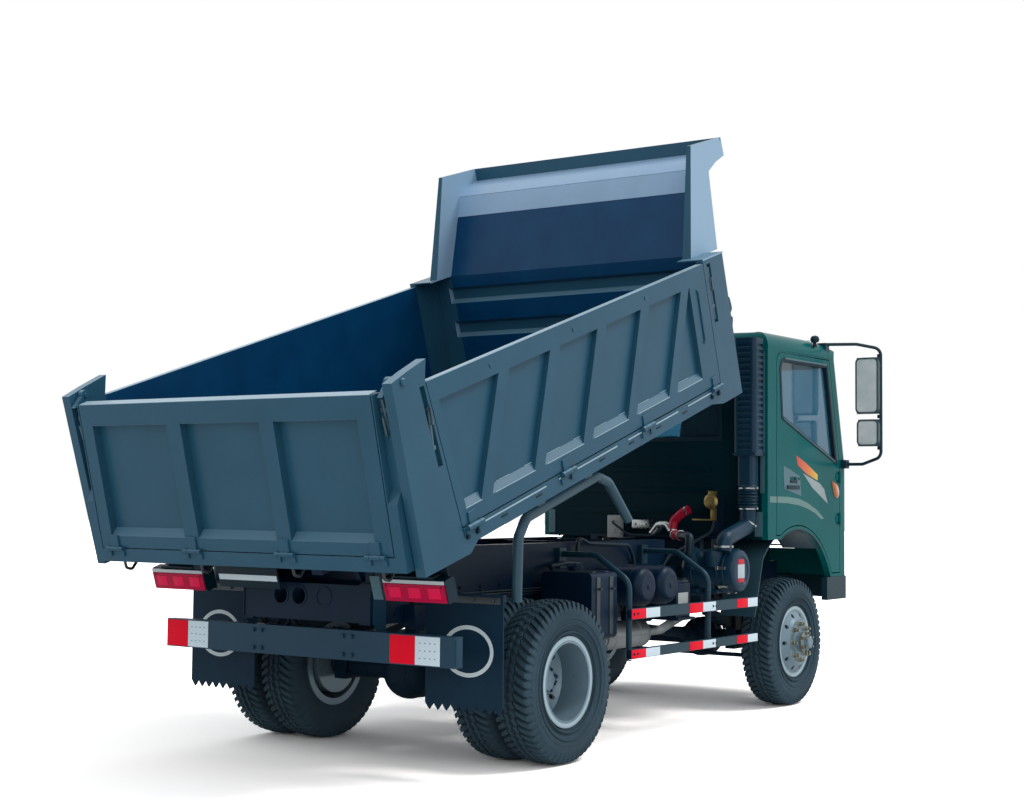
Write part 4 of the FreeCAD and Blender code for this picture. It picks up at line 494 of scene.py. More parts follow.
for wheel, body, way, steered in (
        ("front_left", "wheel_front_l", 1, True), ("front_right", "wheel_front_r", -1, True),
        ("rear_left", "wheels_rear_l", 1, False), ("rear_right", "wheels_rear_r", -1, False)):
    joint = "wheel_%s_spin" % wheel if steered else "wheels_%s_spin" % wheel
    hub = Vector(hinges[joint]["pos_m"])
    hub.y = way * (0.744 if steered else 0.780)
    for twin in ((0.0,) if steered else (0.128, -0.128)):
        tyre = bmesh.new()
        treaded_tyre(tyre, Vector((hub.x, hub.y + way * twin, hub.z)))
        place_name = wheel + ("" if steered else "_outer" if twin > 0 else "_inner")
        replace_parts(put_on(tyre, "tyre_" + place_name, tyre_rubber, body, 28.0),
                    wheel.replace("_", "_tyre_" if steered else "_tyres_"))
    flange = bmesh.new()
    lathed(flange, Vector((hub.x, hub.y + way * ((0.0 if steered else 0.128) + 0.0905), hub.z)),
           (0, way, 0),
           [(0, 0.2110), (0.0022, 0.2115), (0.0032, 0.2150), (0.0032, 0.2300), (0.0020, 0.2330),
            (0, 0.2335)], 72)
    put_on(flange, "rim_flange_" + wheel, flange_highlight, body)
    rings = bmesh.new()
    outer = hub.y + way * ((0.0 if steered else 0.128) + tyre_half)
    moulded_rings(rings, hub, outer - way * 0.0005, way)
    put_on(rings, "sidewall_rings_" + wheel, tyre_rubber, body)
    nuts = bmesh.new()
    disc_y = hub.y + way * (0.128 if steered else 0.012)
    nut_count = 8 if steered else 6
    for i in range(nut_count):
        a = 2 * math.pi * i / nut_count
        spot = Vector((hub.x + 0.118 * math.cos(a), disc_y, hub.z + 0.118 * math.sin(a)))
        lathed(nuts, spot, (0, way, 0),
               [(0, 0.021), (0.004, 0.020), (0.006, 0.016), (0.024, 0.0155), (0.027, 0.012),
                (0.040, 0.0105), (0.042, 0.0)], 6)
    put_on(nuts, "wheel_nuts_" + wheel, nut_plated if steered else cast_black, body)
    cap = bmesh.new()
    if steered:
        lathed(cap, Vector((hub.x, hub.y + way * 0.158, hub.z)), (0, way, 0),
               [(0, 0.061), (0.004, 0.0705), (0.014, 0.0705), (0.018, 0.062)], 36)
        for i in range(6):
            a = 2 * math.pi * (i + 0.5) / 6
            spot = Vector((hub.x + 0.060 * math.cos(a), hub.y + way * 0.170,
                           hub.z + 0.060 * math.sin(a)))
            lathed(cap, spot, (0, way, 0),
                   [(0, 0.0115), (0.017, 0.0115), (0.020, 0.008), (0.036, 0.007), (0.037, 0)], 6)
        put_on(cap, "drive_flange_" + wheel, nut_plated, body)
    else:
        for i in range(8):
            a = 2 * math.pi * (i + 0.5) / 8
            spot = Vector((hub.x + 0.058 * math.cos(a), hub.y + way * 0.094,
                           hub.z + 0.058 * math.sin(a)))
            bolt(cap, spot, (0, way, 0), 0.017, 0.014)
        lathed(cap, Vector((hub.x, hub.y + way * 0.0385, hub.z)), (0, way, 0),
               [(0.0, 0.075), (0.0, 0.088), (0.012, 0.088), (0.016, 0.080), (0.05, 0.0765)], 36)
        put_on(cap, "hub_flange_" + wheel, cast_black, body)
    valve = bmesh.new()
    lathed(valve, Vector((hub.x + 0.155, disc_y - way * 0.004, hub.z - 0.02)), (0.25, way, -0.1),
           [(0, 0.008), (0.010, 0.006), (0.038, 0.005), (0.040, 0.0)], 12)
    put_on(valve, "valve_" + wheel, hose_black, body)


# ---------------------------------------------------------------- engine, gearbox and exhaust
# The engine sits under the cab and is only glimpsed past the wheels, in cast iron and black paint.
# The silencer is aluminised steel with rolled end seams and hangs on a clamp behind it.
paint_nodes(cast_black, "engine", "driveline")
pipe_steel = finish_coat("pipe_steel", (0.25, 0.27, 0.28), 0.42, metal=0.7, shade=0.3, dust=0.3,
                         grain=0.2)
paint_nodes(pipe_steel, "exhaust")
engine_ribs = bmesh.new()
for x in [2.60 + 0.115 * i for i in range(6)]:
    for side in (-1, 1):
        bar(engine_ribs, truck(x, side * 0.276, 0.84), (0.030, 0.014, 0.30), 0.004)
bar(engine_ribs, truck(2.93, 0.0, 1.096), (0.66, 0.30, 0.014), 0.006)
for x in (2.66, 2.84, 3.02, 3.20):
    bolt(engine_ribs, truck(x, -0.10, 1.102), (0, 0, 1), 0.016, 0.010)
    bolt(engine_ribs, truck(x, 0.10, 1.102), (0, 0, 1), 0.016, 0.010)
put_on(engine_ribs, "engine_covers", cast_black, "chassis")
silencer_seams = bmesh.new()
for x in (1.000, 1.462):
    lathed(silencer_seams, truck(x - 0.006, -0.554, 0.560), (1, 0, 0),
           [(0, 0.0785), (0.002, 0.0835), (0.010, 0.0835), (0.012, 0.0785)], 40)
for x in (1.10, 1.38):
    lathed(silencer_seams, truck(x - 0.016, -0.554, 0.560), (1, 0, 0),
           [(0, 0.0795), (0.003, 0.0825), (0.029, 0.0825), (0.032, 0.0795)], 40)
    bar(silencer_seams, truck(x, -0.554, 0.650), (0.026, 0.020, 0.020), 0.003)
    bolt(silencer_seams, truck(x, -0.566, 0.650), (0, -1, 0), 0.014, 0.010)
band_radius = 0.0295
for x in (1.488, 0.972):
    lathed(silencer_seams, truck(x - 0.014, -0.554, 0.560), (1, 0, 0),
           [(0, band_radius - 0.003), (0.002, band_radius + 0.003), (0.026, band_radius + 0.003),
            (0.028, band_radius - 0.003)], 28)
put_on(silencer_seams, "silencer_bands", pipe_steel, "chassis")

# ---------------------------------------------------------------- tanks, air bottles and battery
# Welded steel tanks held by strap steel against the rails, in chassis black.
# Each strap is pulled tight by a threaded end, and each air bottle has a drain at its foot.
paint_nodes(chassis_black, "hydraulic_tank", "fuel_tank", "air_tanks", "battery_box")
strap_steel = finish_coat("strap_steel", (0.055, 0.072, 0.082), 0.40, metal=0.5, shade=0.2)
straps = bmesh.new()
for x0, x1, y_out, y_in, z0, z1, places in (
        (0.90, 1.62, 0.844, 0.50, 0.56, 0.96, (1.04, 1.48)),
        (0.470, 0.735, -0.844, -0.55, 0.59, 0.955, (0.535, 0.67))):
    s = 1 if y_out > 0 else -1
    for x in places:
        bar(straps, truck(x, y_out + s * 0.0025, (z0 + z1) / 2), (0.036, 0.004, z1 - z0 - 0.05),
            0.0012)
        for z, way in ((z0 - 0.0022, -1), (z1 + 0.0022, 1)):
            bar(straps, truck(x, (y_out + y_in) / 2, z), (0.036, abs(y_out - y_in) - 0.05, 0.004),
                0.0012)
        bolt(straps, truck(x, y_out + s * 0.0045, z1 - 0.09), (0, s, 0), 0.014, 0.020)
put_on(straps, "tank_straps", strap_steel, "chassis")
tank_fittings = bmesh.new()
lathed(tank_fittings, truck(1.26, 0.70, 0.9595), (0, 0, 1),
       [(0, 0.052), (0.012, 0.050), (0.014, 0.058), (0.032, 0.058), (0.038, 0.050), (0.038, 0.0)],
       36)
lathed(tank_fittings, truck(0.60, -0.66, 0.9545), (0, 0, 1),
       [(0, 0.040), (0.010, 0.038), (0.012, 0.045), (0.028, 0.045), (0.033, 0.038), (0.033, 0.0)],
       36)
lathed(tank_fittings, truck(0.60, -0.66, 0.987), (0, 0, 1),
       [(0, 0.012), (0.012, 0.010), (0.014, 0.0)], 16)
for x in (1.09, 1.35):
    lathed(tank_fittings, truck(x, -0.66, 0.746), (0, 0, -1),
           [(0, 0.014), (0.012, 0.013), (0.013, 0.008), (0.030, 0.007), (0.031, 0.0)], 16)
    for y in (-0.56, -0.76):
        lathed(tank_fittings, truck(x, y - 0.012, 0.856), (0, 1, 0),
               [(0, 0.1115), (0.001, 0.1145), (0.023, 0.1145), (0.024, 0.1115)], 48)
    lathed(tank_fittings, truck(x, -0.835, 0.856), (0, -1, 0),
           [(0, 0.020), (0.004, 0.019), (0.006, 0.012), (0.009, 0.011), (0.009, 0)], 20)
put_on(tank_fittings, "tank_fittings", chassis_black, "chassis")
battery_white = finish_coat("battery_white", (0.48, 0.50, 0.50), 0.45, shade=0.06, gloss=0.4)
battery_case = finish_coat("battery_case", (0.006, 0.024, 0.042), 0.45, gloss=0.25, grain=0.4)
batteries = bmesh.new()
for y in (-0.560, -0.716):
    bar(batteries, truck(1.575, y, 0.868), (0.168, 0.138, 0.014), 0.004)
    for x in (1.530, 1.620):
        lathed(batteries, truck(x, y, 0.875), (0, 0, 1), [(0, 0.012), (0.014, 0.010), (0.015, 0)],
               16)
bar(batteries, truck(1.575, -0.640, 0.8835), (0.030, 0.33, 0.008), 0.002)
put_on(batteries, "battery_lids", battery_case, "chassis")
label = bmesh.new()
bar(label, truck(1.575, -0.7948, 0.762), (0.120, 0.0018, 0.080), 0.0005)
put_on(label, "battery_label", battery_white, "chassis")

# ---------------------------------------------------------------- air cleaner and intake
# A black plastic chest behind the cab draws air through slots, and a ribbed rubber bellows lets
# the cab move on it. The round cleaner lies across the truck, its clipped lid with a plain label.
intake_plastic = finish_coat("intake_plastic", (0.003, 0.034, 0.068), 0.40, gloss=0.25, grain=0.4,
                             grain_size=420.0)
paint_nodes(intake_plastic, "air_cleaner", "air_intake")
clip_steel = finish_coat("clip_steel", (0.42, 0.45, 0.46), 0.26, metal=0.9, shade=0.2)
cleaner_mid, cleaner_inner, cleaner_z = 2.240, 0.470, 0.912
can = bmesh.new()
can_foot = truck(cleaner_mid, -cleaner_inner, cleaner_z)
lathed(can, can_foot, (0, -1, 0),
       [(0, 0.0), (0, 0.070), (0.006, 0.112), (0.030, 0.127), (0.060, 0.128), (0.064, 0.132),
        (0.080, 0.132), (0.084, 0.128), (0.150, 0.128), (0.154, 0.133), (0.174, 0.133),
        (0.178, 0.128), (0.244, 0.128), (0.248, 0.132), (0.264, 0.132), (0.268, 0.128),
        (0.292, 0.128), (0.294, 0.1375), (0.306, 0.139), (0.310, 0.1345), (0.352, 0.1345),
        (0.366, 0.128), (0.3735, 0.112), (0.3745, 0.092), (0.3700, 0.088), (0.3700, 0.0)], 56)
lathed(can, truck(2.132, -0.700, 1.036), (0, 0, -1),
       [(-0.002, 0.0), (-0.002, 0.060), (0.004, 0.062), (0.050, 0.062), (0.100, 0.052)], 32)
lathed(can, truck(2.115, -0.560, 0.990), (-0.45, 0, 1),
       [(-0.06, 0.0), (-0.06, 0.054), (0.050, 0.050), (0.052, 0.0)], 32)
for y in (-0.56, -0.70):
    bar(can, truck(cleaner_mid, y, cleaner_z - 0.130), (0.190, 0.034, 0.026), 0.004)
bar(can, truck(cleaner_mid - 0.02, -0.520, cleaner_z - 0.146), (0.060, 0.190, 0.014), 0.003)
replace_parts(put_on(can, "air_cleaner_can", intake_plastic, "chassis", 30.0), "air_cleaner")
cleaner_clips = bmesh.new()
for i in range(7):
    a = 2 * math.pi * (i + 0.35) / 7
    out = Vector((math.cos(a), 0.0, math.sin(a)))
    spin = Matrix((out.cross(Vector((0, 1, 0))), Vector((0, 1, 0)), out)).transposed()
    middle = truck(cleaner_mid, 0.0, cleaner_z)
    bar(cleaner_clips, middle + Vector((0, -0.768, 0)) + out * 0.1405, (0.016, 0.062, 0.004), 0.001,
        spin)
    bar(cleaner_clips, middle + Vector((0, -0.742, 0)) + out * 0.1445, (0.022, 0.014, 0.006), 0.001,
        spin)
put_on(cleaner_clips, "cleaner_clips", clip_steel, "chassis")
band_white = finish_coat("band_white", (0.52, 0.60, 0.64), 0.4, shade=0.05, gloss=0.3)
band_red = finish_coat("band_red", (0.62, 0.012, 0.035), 0.4, shade=0.08, gloss=0.3)
for name, coat, low, high, wide in (("cleaner_label", band_white, -0.046, 0.040, 0.046),
                                    ("cleaner_label_top", band_red, 0.041, 0.072, 0.040),
                                    ("cleaner_label_foot", band_red, -0.072, -0.047, 0.040)):
    label = bmesh.new()
    bar(label, truck(cleaner_mid, -cleaner_inner - 0.3708, cleaner_z + (low + high) / 2),
        (wide * 2, 0.0016, high - low), 0.0005)
    put_on(label, name, coat, "chassis")
bellows_clamps = bmesh.new()
for foot, axis, r in ((truck(2.490, -0.759, 1.440), (0, 0, -1), 0.0585),
                      (truck(2.490, -0.759, 1.308), (0, 0, -1), 0.0585),
                      (truck(2.482, -0.7595, 1.196), (-0.6, 0, -0.8), 0.0535),
                      (truck(2.134, -0.769, 1.072), (0, 0, -1), 0.0535)):
    lathed(bellows_clamps, foot, axis,
           [(0, r), (0.001, r + 0.0035), (0.013, r + 0.0035), (0.014, r)], 40)
    bar(bellows_clamps, foot + Vector(axis).normalized() * 0.007 + Vector((0.0, -r - 0.007, 0.0)),
        (0.026, 0.012, 0.014), 0.003)
put_on(bellows_clamps, "bellows_clamps", clip_steel, "chassis")
bellows = bmesh.new()
rib_steps = []
for i in range(7):
    z = 1.424 - 0.0165 * i
    rib_steps += [(1.430 - z, 0.055), (1.430 - z + 0.0055, 0.0665), (1.430 - z + 0.0095, 0.0665)]
lathed(bellows, truck(2.490, -0.759, 1.430), (0, 0, -1),
       [(0, 0.054)] + rib_steps + [(0.124, 0.054)], 40)
put_on(bellows, "intake_bellows", hose_black, "chassis", 50.0)
chest_ribs = bmesh.new()
bar(chest_ribs, truck(2.4975, -0.764, 2.398), (0.128, 0.144, 0.012), 0.005)
bar(chest_ribs, truck(2.4975, -0.764, 1.652), (0.150, 0.164, 0.012), 0.004)
put_on(chest_ribs, "intake_edges", intake_plastic, "chassis")

# ---------------------------------------------------------------- charge air pipe and small hoses
# A bright pipe with red silicone elbows carries the charge air behind the cab. A zinc-plated
# regulator and a white block sit on the subframe, joined by black rubber hoses.
silicone_red = finish_coat("silicone_red", (0.58, 0.006, 0.045), 0.34, shade=0.12, gloss=0.4)
zinc_yellow = finish_coat("zinc_yellow", (0.36, 0.27, 0.10), 0.34, metal=0.7, shade=0.3)
charge_pipe = bmesh.new()
bent_pipe(charge_pipe,
          [truck(2.470, -0.060, 1.130), truck(2.470, -0.110, 1.190), truck(2.455, -0.190, 1.190),
           truck(2.440, -0.225, 1.150)], 0.024, 0.05, 20)
bar(charge_pipe, truck(2.470, 0.010, 1.190), (0.070, 0.130, 0.060), 0.008)
for y in (-0.03, 0.05):
    bolt(charge_pipe, truck(2.434, y, 1.190), (-1, 0, 0), 0.014, 0.010)
put_on(charge_pipe, "charge_pipe", clip_steel, "chassis")
cold_elbow = bmesh.new()
bent_pipe(cold_elbow,
          [truck(2.072, -0.560, 1.020), truck(2.060, -0.575, 1.125), truck(2.110, -0.500, 1.126),
           truck(2.180, -0.440, 1.126)], 0.0285, 0.07, 22)
put_on(cold_elbow, "cleaner_elbow", hose_black, "chassis")
charge_elbows = bmesh.new()
bent_pipe(charge_elbows,
          [truck(2.165, -0.450, 1.126), truck(2.300, -0.355, 1.126), truck(2.400, -0.270, 1.126)],
          0.0305, 0.09, 24)
bent_pipe(charge_elbows,
          [truck(2.445, -0.228, 1.140), truck(2.455, -0.235, 1.215), truck(2.462, -0.300, 1.270),
           truck(2.468, -0.345, 1.292)], 0.0305, 0.06, 24)
put_on(charge_elbows, "charge_elbows", silicone_red, "chassis")
elbow_clamps = bmesh.new()
for spot, way in ((truck(2.172, -0.446, 1.126), (0.8, 0.6, 0)),
                  (truck(2.385, -0.283, 1.126), (0.76, 0.65, 0)),
                  (truck(2.447, -0.229, 1.152), (0.1, 0, 1)),
                  (truck(2.464, -0.325, 1.283), (0.1, -0.85, 0.4))):
    lathed(elbow_clamps, spot - Vector(way).normalized() * 0.007, way,
           [(0, 0.0305), (0.001, 0.0340), (0.013, 0.0340), (0.014, 0.0305)], 30)
put_on(elbow_clamps, "elbow_clamps", clip_steel, "chassis")
regulator = bmesh.new()
lathed(regulator, truck(2.455, -0.521, 1.345), (-1, 0, 0),
       [(-0.020, 0.0), (-0.020, 0.030), (0.0, 0.046), (0.014, 0.050), (0.022, 0.050),
        (0.030, 0.034), (0.048, 0.028), (0.050, 0.0)], 28)
bar(regulator, truck(2.460, -0.521, 1.398), (0.040, 0.050, 0.030), 0.004)
bar(regulator, truck(2.462, -0.528, 1.262), (0.030, 0.034, 0.080), 0.004)
bar(regulator, truck(2.462, -0.460, 1.225), (0.012, 0.180, 0.010), 0.002)
for a in range(5):
    bolt(regulator,
         truck(2.432, -0.521 + 0.041 * math.cos(a * 1.256), 1.345 + 0.041 * math.sin(a * 1.256)),
         (-1, 0, 0), 0.009, 0.006)
put_on(regulator, "regulator", zinc_yellow, "chassis")
white_block = bmesh.new()
bar(white_block, truck(2.455, 0.215, 1.172), (0.040, 0.105, 0.150), 0.006)
for z in (1.140, 1.205):
    lathed(white_block, truck(2.4348, 0.215, z), (-1, 0, 0),
           [(0, 0.012), (0.010, 0.010), (0.012, 0)], 16)
put_on(white_block, "valve_block", battery_white, "chassis")
pedestal = bmesh.new()
bar(pedestal, truck(2.500, -0.130, 1.108), (0.060, 1.100, 0.014), 0.003)
bar(pedestal, truck(2.500, -0.545, 1.235), (0.012, 0.080, 0.260), 0.003)
bar(pedestal, truck(2.486, 0.215, 1.150), (0.012, 0.120, 0.090), 0.003)
for y in (-0.39, 0.39):
    bar(pedestal, truck(2.500, y, 1.020), (0.056, 0.060, 0.175), 0.004)
put_on(pedestal, "pipe_brackets", chassis_black, "chassis")
hoses = bmesh.new()
for points, r in (([truck(0.93, -0.455, 1.040), truck(0.93, -0.462, 1.135),
                    truck(1.04, -0.466, 1.098), truck(1.48, -0.470, 1.080),
                    truck(1.56, -0.452, 1.020), truck(1.60, -0.437, 0.955)], 0.011),
                  ([truck(2.434, 0.215, 1.205), truck(2.395, 0.205, 1.200),
                    truck(2.395, 0.080, 1.120), truck(2.395, -0.100, 1.112),
                    truck(2.405, -0.160, 1.150), truck(2.436, -0.160, 1.185)], 0.008),
                  ([truck(2.462, -0.530, 1.222), truck(2.440, -0.530, 1.150),
                    truck(2.200, -0.470, 1.060), truck(2.02, -0.448, 1.000),
                    truck(1.96, -0.437, 0.940)], 0.009),
                  ([truck(0.62, -0.52, 0.93), truck(0.62, -0.47, 0.975), truck(0.80, -0.465, 0.990),
                    truck(0.96, -0.462, 0.980), truck(1.00, -0.437, 0.940)], 0.013)):
    bent_pipe(hoses, points, r, 0.09, 14)
put_on(hoses, "rubber_hoses", hose_black, "chassis", 60.0)

# ---------------------------------------------------------------- side guards
# Two box-section rails on round posts down each side, bolted to outriggers from the frame.
# Pairs of red and white reflective tape are stuck on the flat of each rail.
guard_slate = finish_coat("guard_slate", (0.010, 0.046, 0.075), 0.38, gloss=0.25, grain=0.15)
paint_nodes(guard_slate, "side_guards")
paint_nodes(chassis_black, "flap_hangers")
tape_red = finish_coat("tape_red", (0.96, 0.0015, 0.026), 0.40, shade=0.03, gloss=0.10, grain=0.35,
                       grain_size=700.0)
tape_white = finish_coat("tape_white", (0.74, 0.88, 0.97), 0.40, shade=0.02, gloss=0.2, grain=0.35,
                         grain_size=700.0)
tape_pieces = {"red": bmesh.new(), "white": bmesh.new()}
guard_face, guard_start, guard_length = 0.934, 0.742, 1.540
upper_rail, lower_rail = 0.722, 0.5015
for side in (-1, 1):
    for z, high in ((upper_rail, 0.054), (lower_rail, 0.048)):
        for start, middle, end in ((0.746, 0.899, 1.056), (1.407, 1.566, 1.726),
                                   (2.002, 2.146, 2.279)):
            for colour, x0, x1 in (("red", start, middle), ("white", middle + 0.001, end)):
                bar(tape_pieces[colour], truck((x0 + x1) / 2, side * (guard_face + 0.0007), z),
                    (x1 - x0, 0.0014, high), 0.0004)
put_on(tape_pieces["red"], "guard_tape_red", tape_red, "chassis")
put_on(tape_pieces["white"], "guard_tape_white", tape_white, "chassis")
guard_bolts = bmesh.new()
for side in (-1, 1):
    for x in (0.790, 1.710):
        for z in (upper_rail, lower_rail):
            bar(guard_bolts, truck(x, side * 0.9015, z), (0.060, 0.006, 0.062), 0.002)
            for dx in (-0.019, 0.019):
                bolt(guard_bolts, truck(x + dx, side * (guard_face + 0.0005), z), (0, side, 0),
                     0.010, 0.006)
        lathed(guard_bolts, truck(x, side * 0.889, 0.466), (0, 0, -1),
               [(0, 0.0172), (0.004, 0.0165), (0.006, 0.0)], 20)
    for x in (guard_start - 0.0005, guard_start + guard_length + 0.0005):
        for z in (upper_rail, lower_rail):
            way = -1 if x < 1 else 1
            bar(guard_bolts, truck(x, side * 0.919, z), (0.004, 0.027, 0.042), 0.001)
put_on(guard_bolts, "guard_bolts", chassis_black, "chassis")

# ---------------------------------------------------------------- rear bumper
# A pressed box beam in the body's slate paint, bolted through at each end to two brackets.
# Blocks of reflective tape, red then white with dot marks, are stuck at both ends.
# Faces that look up take a paler colour here as painted light.
slate_paint = finish_coat("slate_paint", (0.020, 0.090, 0.150), 0.34, shade=0.07, gloss=0.25,
                          grain=0.12, lit_top=(0.13, 0.25, 0.34))
bumper_slate = finish_coat("bumper_slate", (0.010, 0.050, 0.092), 0.36, shade=0.07, gloss=0.25,
                           grain=0.12)
paint_nodes(bumper_slate, "rear_bumper")
bumper_back, bumper_mid = -0.914, 0.6285
bumper_tape = {"red": bmesh.new(), "white": bmesh.new()}
for colour, y0, y1 in (("red", 0.955, 0.803), ("white", 0.801, 0.655), ("red", -0.567, -0.719),
                       ("white", -0.721, -0.870)):
    bar(bumper_tape[colour], truck(bumper_back - 0.0007, (y0 + y1) / 2, bumper_mid),
        (0.0014, abs(y1 - y0), 0.136), 0.0004)
put_on(bumper_tape["red"], "bumper_tape_red", tape_red, "chassis")
put_on(bumper_tape["white"], "bumper_tape_white", tape_white, "chassis")
tape_grey = finish_coat("tape_grey", (0.17, 0.18, 0.19), 0.4, shade=0.08)
bumper_dots = bmesh.new()
for y0 in (0.728, -0.7955):
    for i in range(4):
        for k in range(3):
            bar(bumper_dots,
                truck(bumper_back - 0.0017, y0 + 0.030 * (i - 1.5), bumper_mid + 0.036 * (k - 1)),
                (0.0010, 0.009, 0.004), 0.0003)
put_on(bumper_dots, "bumper_dots", tape_grey, "chassis")
bumper_bolts = bmesh.new()
for y in (0.30, -0.30):
    for dy in (-0.035, 0.035):
        for dz in (-0.045, 0.045):
            bolt(bumper_bolts, truck(bumper_back - 0.0005, y + dy * 0.8, bumper_mid + dz),
                 (-1, 0, 0), 0.018, 0.012)
for y in (0.9595, -0.9595):
    side = 1 if y > 0 else -1
    bar(bumper_bolts, truck(-0.884, y, bumper_mid), (0.050, 0.004, 0.130), 0.002)
put_on(bumper_bolts, "bumper_bolts", bumper_slate, "chassis")

# ---------------------------------------------------------------- mud flaps
# Thick moulded rubber sheets bolted under a folded hanger, one behind each pair of rear wheels.
# A moulded ring in white marks the middle of each, and it is left without words.
flap_rubber = finish_coat("flap_rubber", (0.002, 0.024, 0.052), 0.55, gloss=0.15, grain=0.5,
                          grain_size=150.0, dust=0.10)
paint_nodes(flap_rubber, "mud_flaps")
flap_print = finish_coat("flap_print", (0.70, 0.80, 0.84), 0.5, shade=0.08)
flap_back, ring_y, ring_z, ring_steps = -0.6453, 0.835, 0.612, 72
rings = bmesh.new()
for side in (-1, 1):
    inner_edge, outer_edge = [], []
    for i in range(ring_steps):
        a = 2 * math.pi * i / ring_steps
        for edge, grow in ((inner_edge, 0.0), (outer_edge, 0.020)):
            edge.append((side * ring_y + (0.134 + grow) * math.cos(a),
                         ring_z + (0.106 + grow) * math.sin(a)))
    rows = []
    for edge, deep in ((inner_edge, 0.0006), (inner_edge, -0.0012), (outer_edge, -0.0012),
                       (outer_edge, 0.0006)):
        rows.append([rings.verts.new(truck(flap_back + deep, y, z)) for y, z in edge])
    for low, high in zip(rows, rows[1:]):
        for i in range(ring_steps):
            j = (i + 1) % ring_steps
            rings.faces.new((low[i], low[j], high[j], high[i]))
put_on(rings, "flap_rings", flap_print, "chassis")
flap_bolts = bmesh.new()
for side in (-1, 1):
    bar(flap_bolts, truck(flap_back - 0.0025, side * 0.810, 0.862), (0.005, 0.44, 0.034), 0.001)
    for i in range(4):
        bolt(flap_bolts, truck(flap_back - 0.005, side * (0.630 + 0.12 * i), 0.862), (-1, 0, 0),
             0.016, 0.011)
put_on(flap_bolts, "flap_clamps", strap_steel, "chassis")

# ---------------------------------------------------------------- cab shell and doors
# Pressed steel panels in a deep teal enamel under clear coat. The doors hang on outside hinges,
# with black rubber round the glass and vinyl stripes cut to run on from door to pillar.
cab_green = finish_coat("cab_green", (0.0002, 0.118, 0.124), 0.24, shade=0.08, gloss=0.05,
                        clear=0.05)
# The rear wall takes a much darker copy of the cab green: painted shade.
shaded_wall_green = finish_coat("shaded_wall_green", (0.0004, 0.022, 0.034), 0.34, shade=0.10, gloss=0.05)
paint_nodes(shaded_wall_green, "cab_rear_wall")
paint_nodes(cab_green, "cab_sides", "cab_front", "cab_roof", "door_left", "door_right")
trim_black = finish_coat("trim_black", (0.002, 0.020, 0.036), 0.42, gloss=0.2, grain=0.3)
trim_grey = finish_coat("trim_grey", (0.075, 0.165, 0.205), 0.38, gloss=0.3, grain=0.2)
cab_side_y, roof_gutter = 0.864, 2.3425
arch_x, arch_z, arch_radius = 3.020, 0.5875, 0.5755
window_corners = [(2.780, 1.900), (3.637, 1.620), (3.478, 2.285), (2.810, 2.285), (2.772, 2.268),
                  (2.752, 2.225)]


def grown_outline(corners, grow):
    """The same outline with every side moved out by a little."""
    n = len(corners)
    area = sum(corners[i][0] * corners[(i + 1) % n][1] - corners[(i + 1) % n][0] * corners[i][1]
               for i in range(n))
    way = 1.0 if area > 0 else -1.0
    out = []
    for i in range(n):
        before, here, after = (Vector(corners[(i + k) % n]) for k in (-1, 0, 1))
        a, b = (here - before).normalized(), (after - here).normalized()
        side_a, side_b = Vector((a.y, -a.x)) * way, Vector((b.y, -b.x)) * way
        mitre = (side_a + side_b).normalized()
        out.append(tuple(here + mitre * (grow / max(0.35, mitre.dot(side_a)))))
    return out


def ring_strip(kit, corners, outer, inner, place, low, high):
    """Strip that follows an outline, between two offsets of it and two depths."""
    rows = [[kit.verts.new(place @ Vector((x, y, depth))) for x, y in grown_outline(corners, grow)]
            for grow, depth in ((outer, low), (outer, high), (inner, high), (inner, low))]
    n = len(corners)
    for a, b in zip(rows, rows[1:] + rows[:1]):
        for i in range(n):
            j = (i + 1) % n
            kit.faces.new((a[i], a[j], b[j], b[i]))


def beside(side):
    """Place whose first two axes are forward and up on one side of the cab, and third outwards."""
    return Matrix(((1, 0, 0, rear_axle_x), (0, 0, side, side * cab_side_y), (0, 1, 0, 0),
                   (0, 0, 0, 1)))


vinyl_silver = finish_coat("vinyl_silver", (0.30, 0.37, 0.39), 0.34, metal=0.25, shade=0.08)
vinyl_pale = finish_coat("vinyl_pale", (0.10, 0.22, 0.21), 0.36, shade=0.06)
vinyl_fire = finish_coat("vinyl_fire", (0.75, 0.14, 0.02), 0.36, shade=0.05)
fire_tree = vinyl_fire.node_tree
fire_place = fire_tree.nodes.new("ShaderNodeTexCoord")
fire_split = fire_tree.nodes.new("ShaderNodeSeparateXYZ")
fire_along = fire_tree.nodes.new("ShaderNodeMapRange")
fire_along.inputs["From Min"].default_value = rear_axle_x + 3.00
fire_along.inputs["From Max"].default_value = rear_axle_x + 3.32
fire_ramp = fire_tree.nodes.new("ShaderNodeValToRGB")
fire_ramp.color_ramp.elements[0].color = (0.62, 0.055, 0.03, 1.0)
fire_ramp.color_ramp.elements[1].color = (0.80, 0.52, 0.02, 1.0)
fire_middle = fire_ramp.color_ramp.elements.new(0.55)
fire_middle.color = (0.75, 0.17, 0.03, 1.0)
fire_tree.links.new(fire_place.outputs["Object"], fire_split.inputs[0])
fire_tree.links.new(fire_split.outputs["X"], fire_along.inputs["Value"])
fire_tree.links.new(fire_along.outputs[0], fire_ramp.inputs["Fac"])
fire_tree.links.new(fire_ramp.outputs["Color"],
                    fire_tree.nodes["Principled BSDF"].inputs["Base Color"])
lamp_amber = finish_coat("lamp_amber", (0.62, 0.15, 0.012), 0.14, shade=0.06, clear=1.0)
arch_stripe = ([(2.595, 1.380), (2.694, 1.3805), (2.706, 1.3805), (2.855, 1.379), (3.035, 1.367),
                (3.173, 1.338), (3.313, 1.293), (3.432, 1.233)],
               [(2.595, 1.342), (2.694, 1.340), (2.706, 1.340), (2.855, 1.337), (3.035, 1.323),
                (3.173, 1.299), (3.289, 1.269), (3.384, 1.228)])
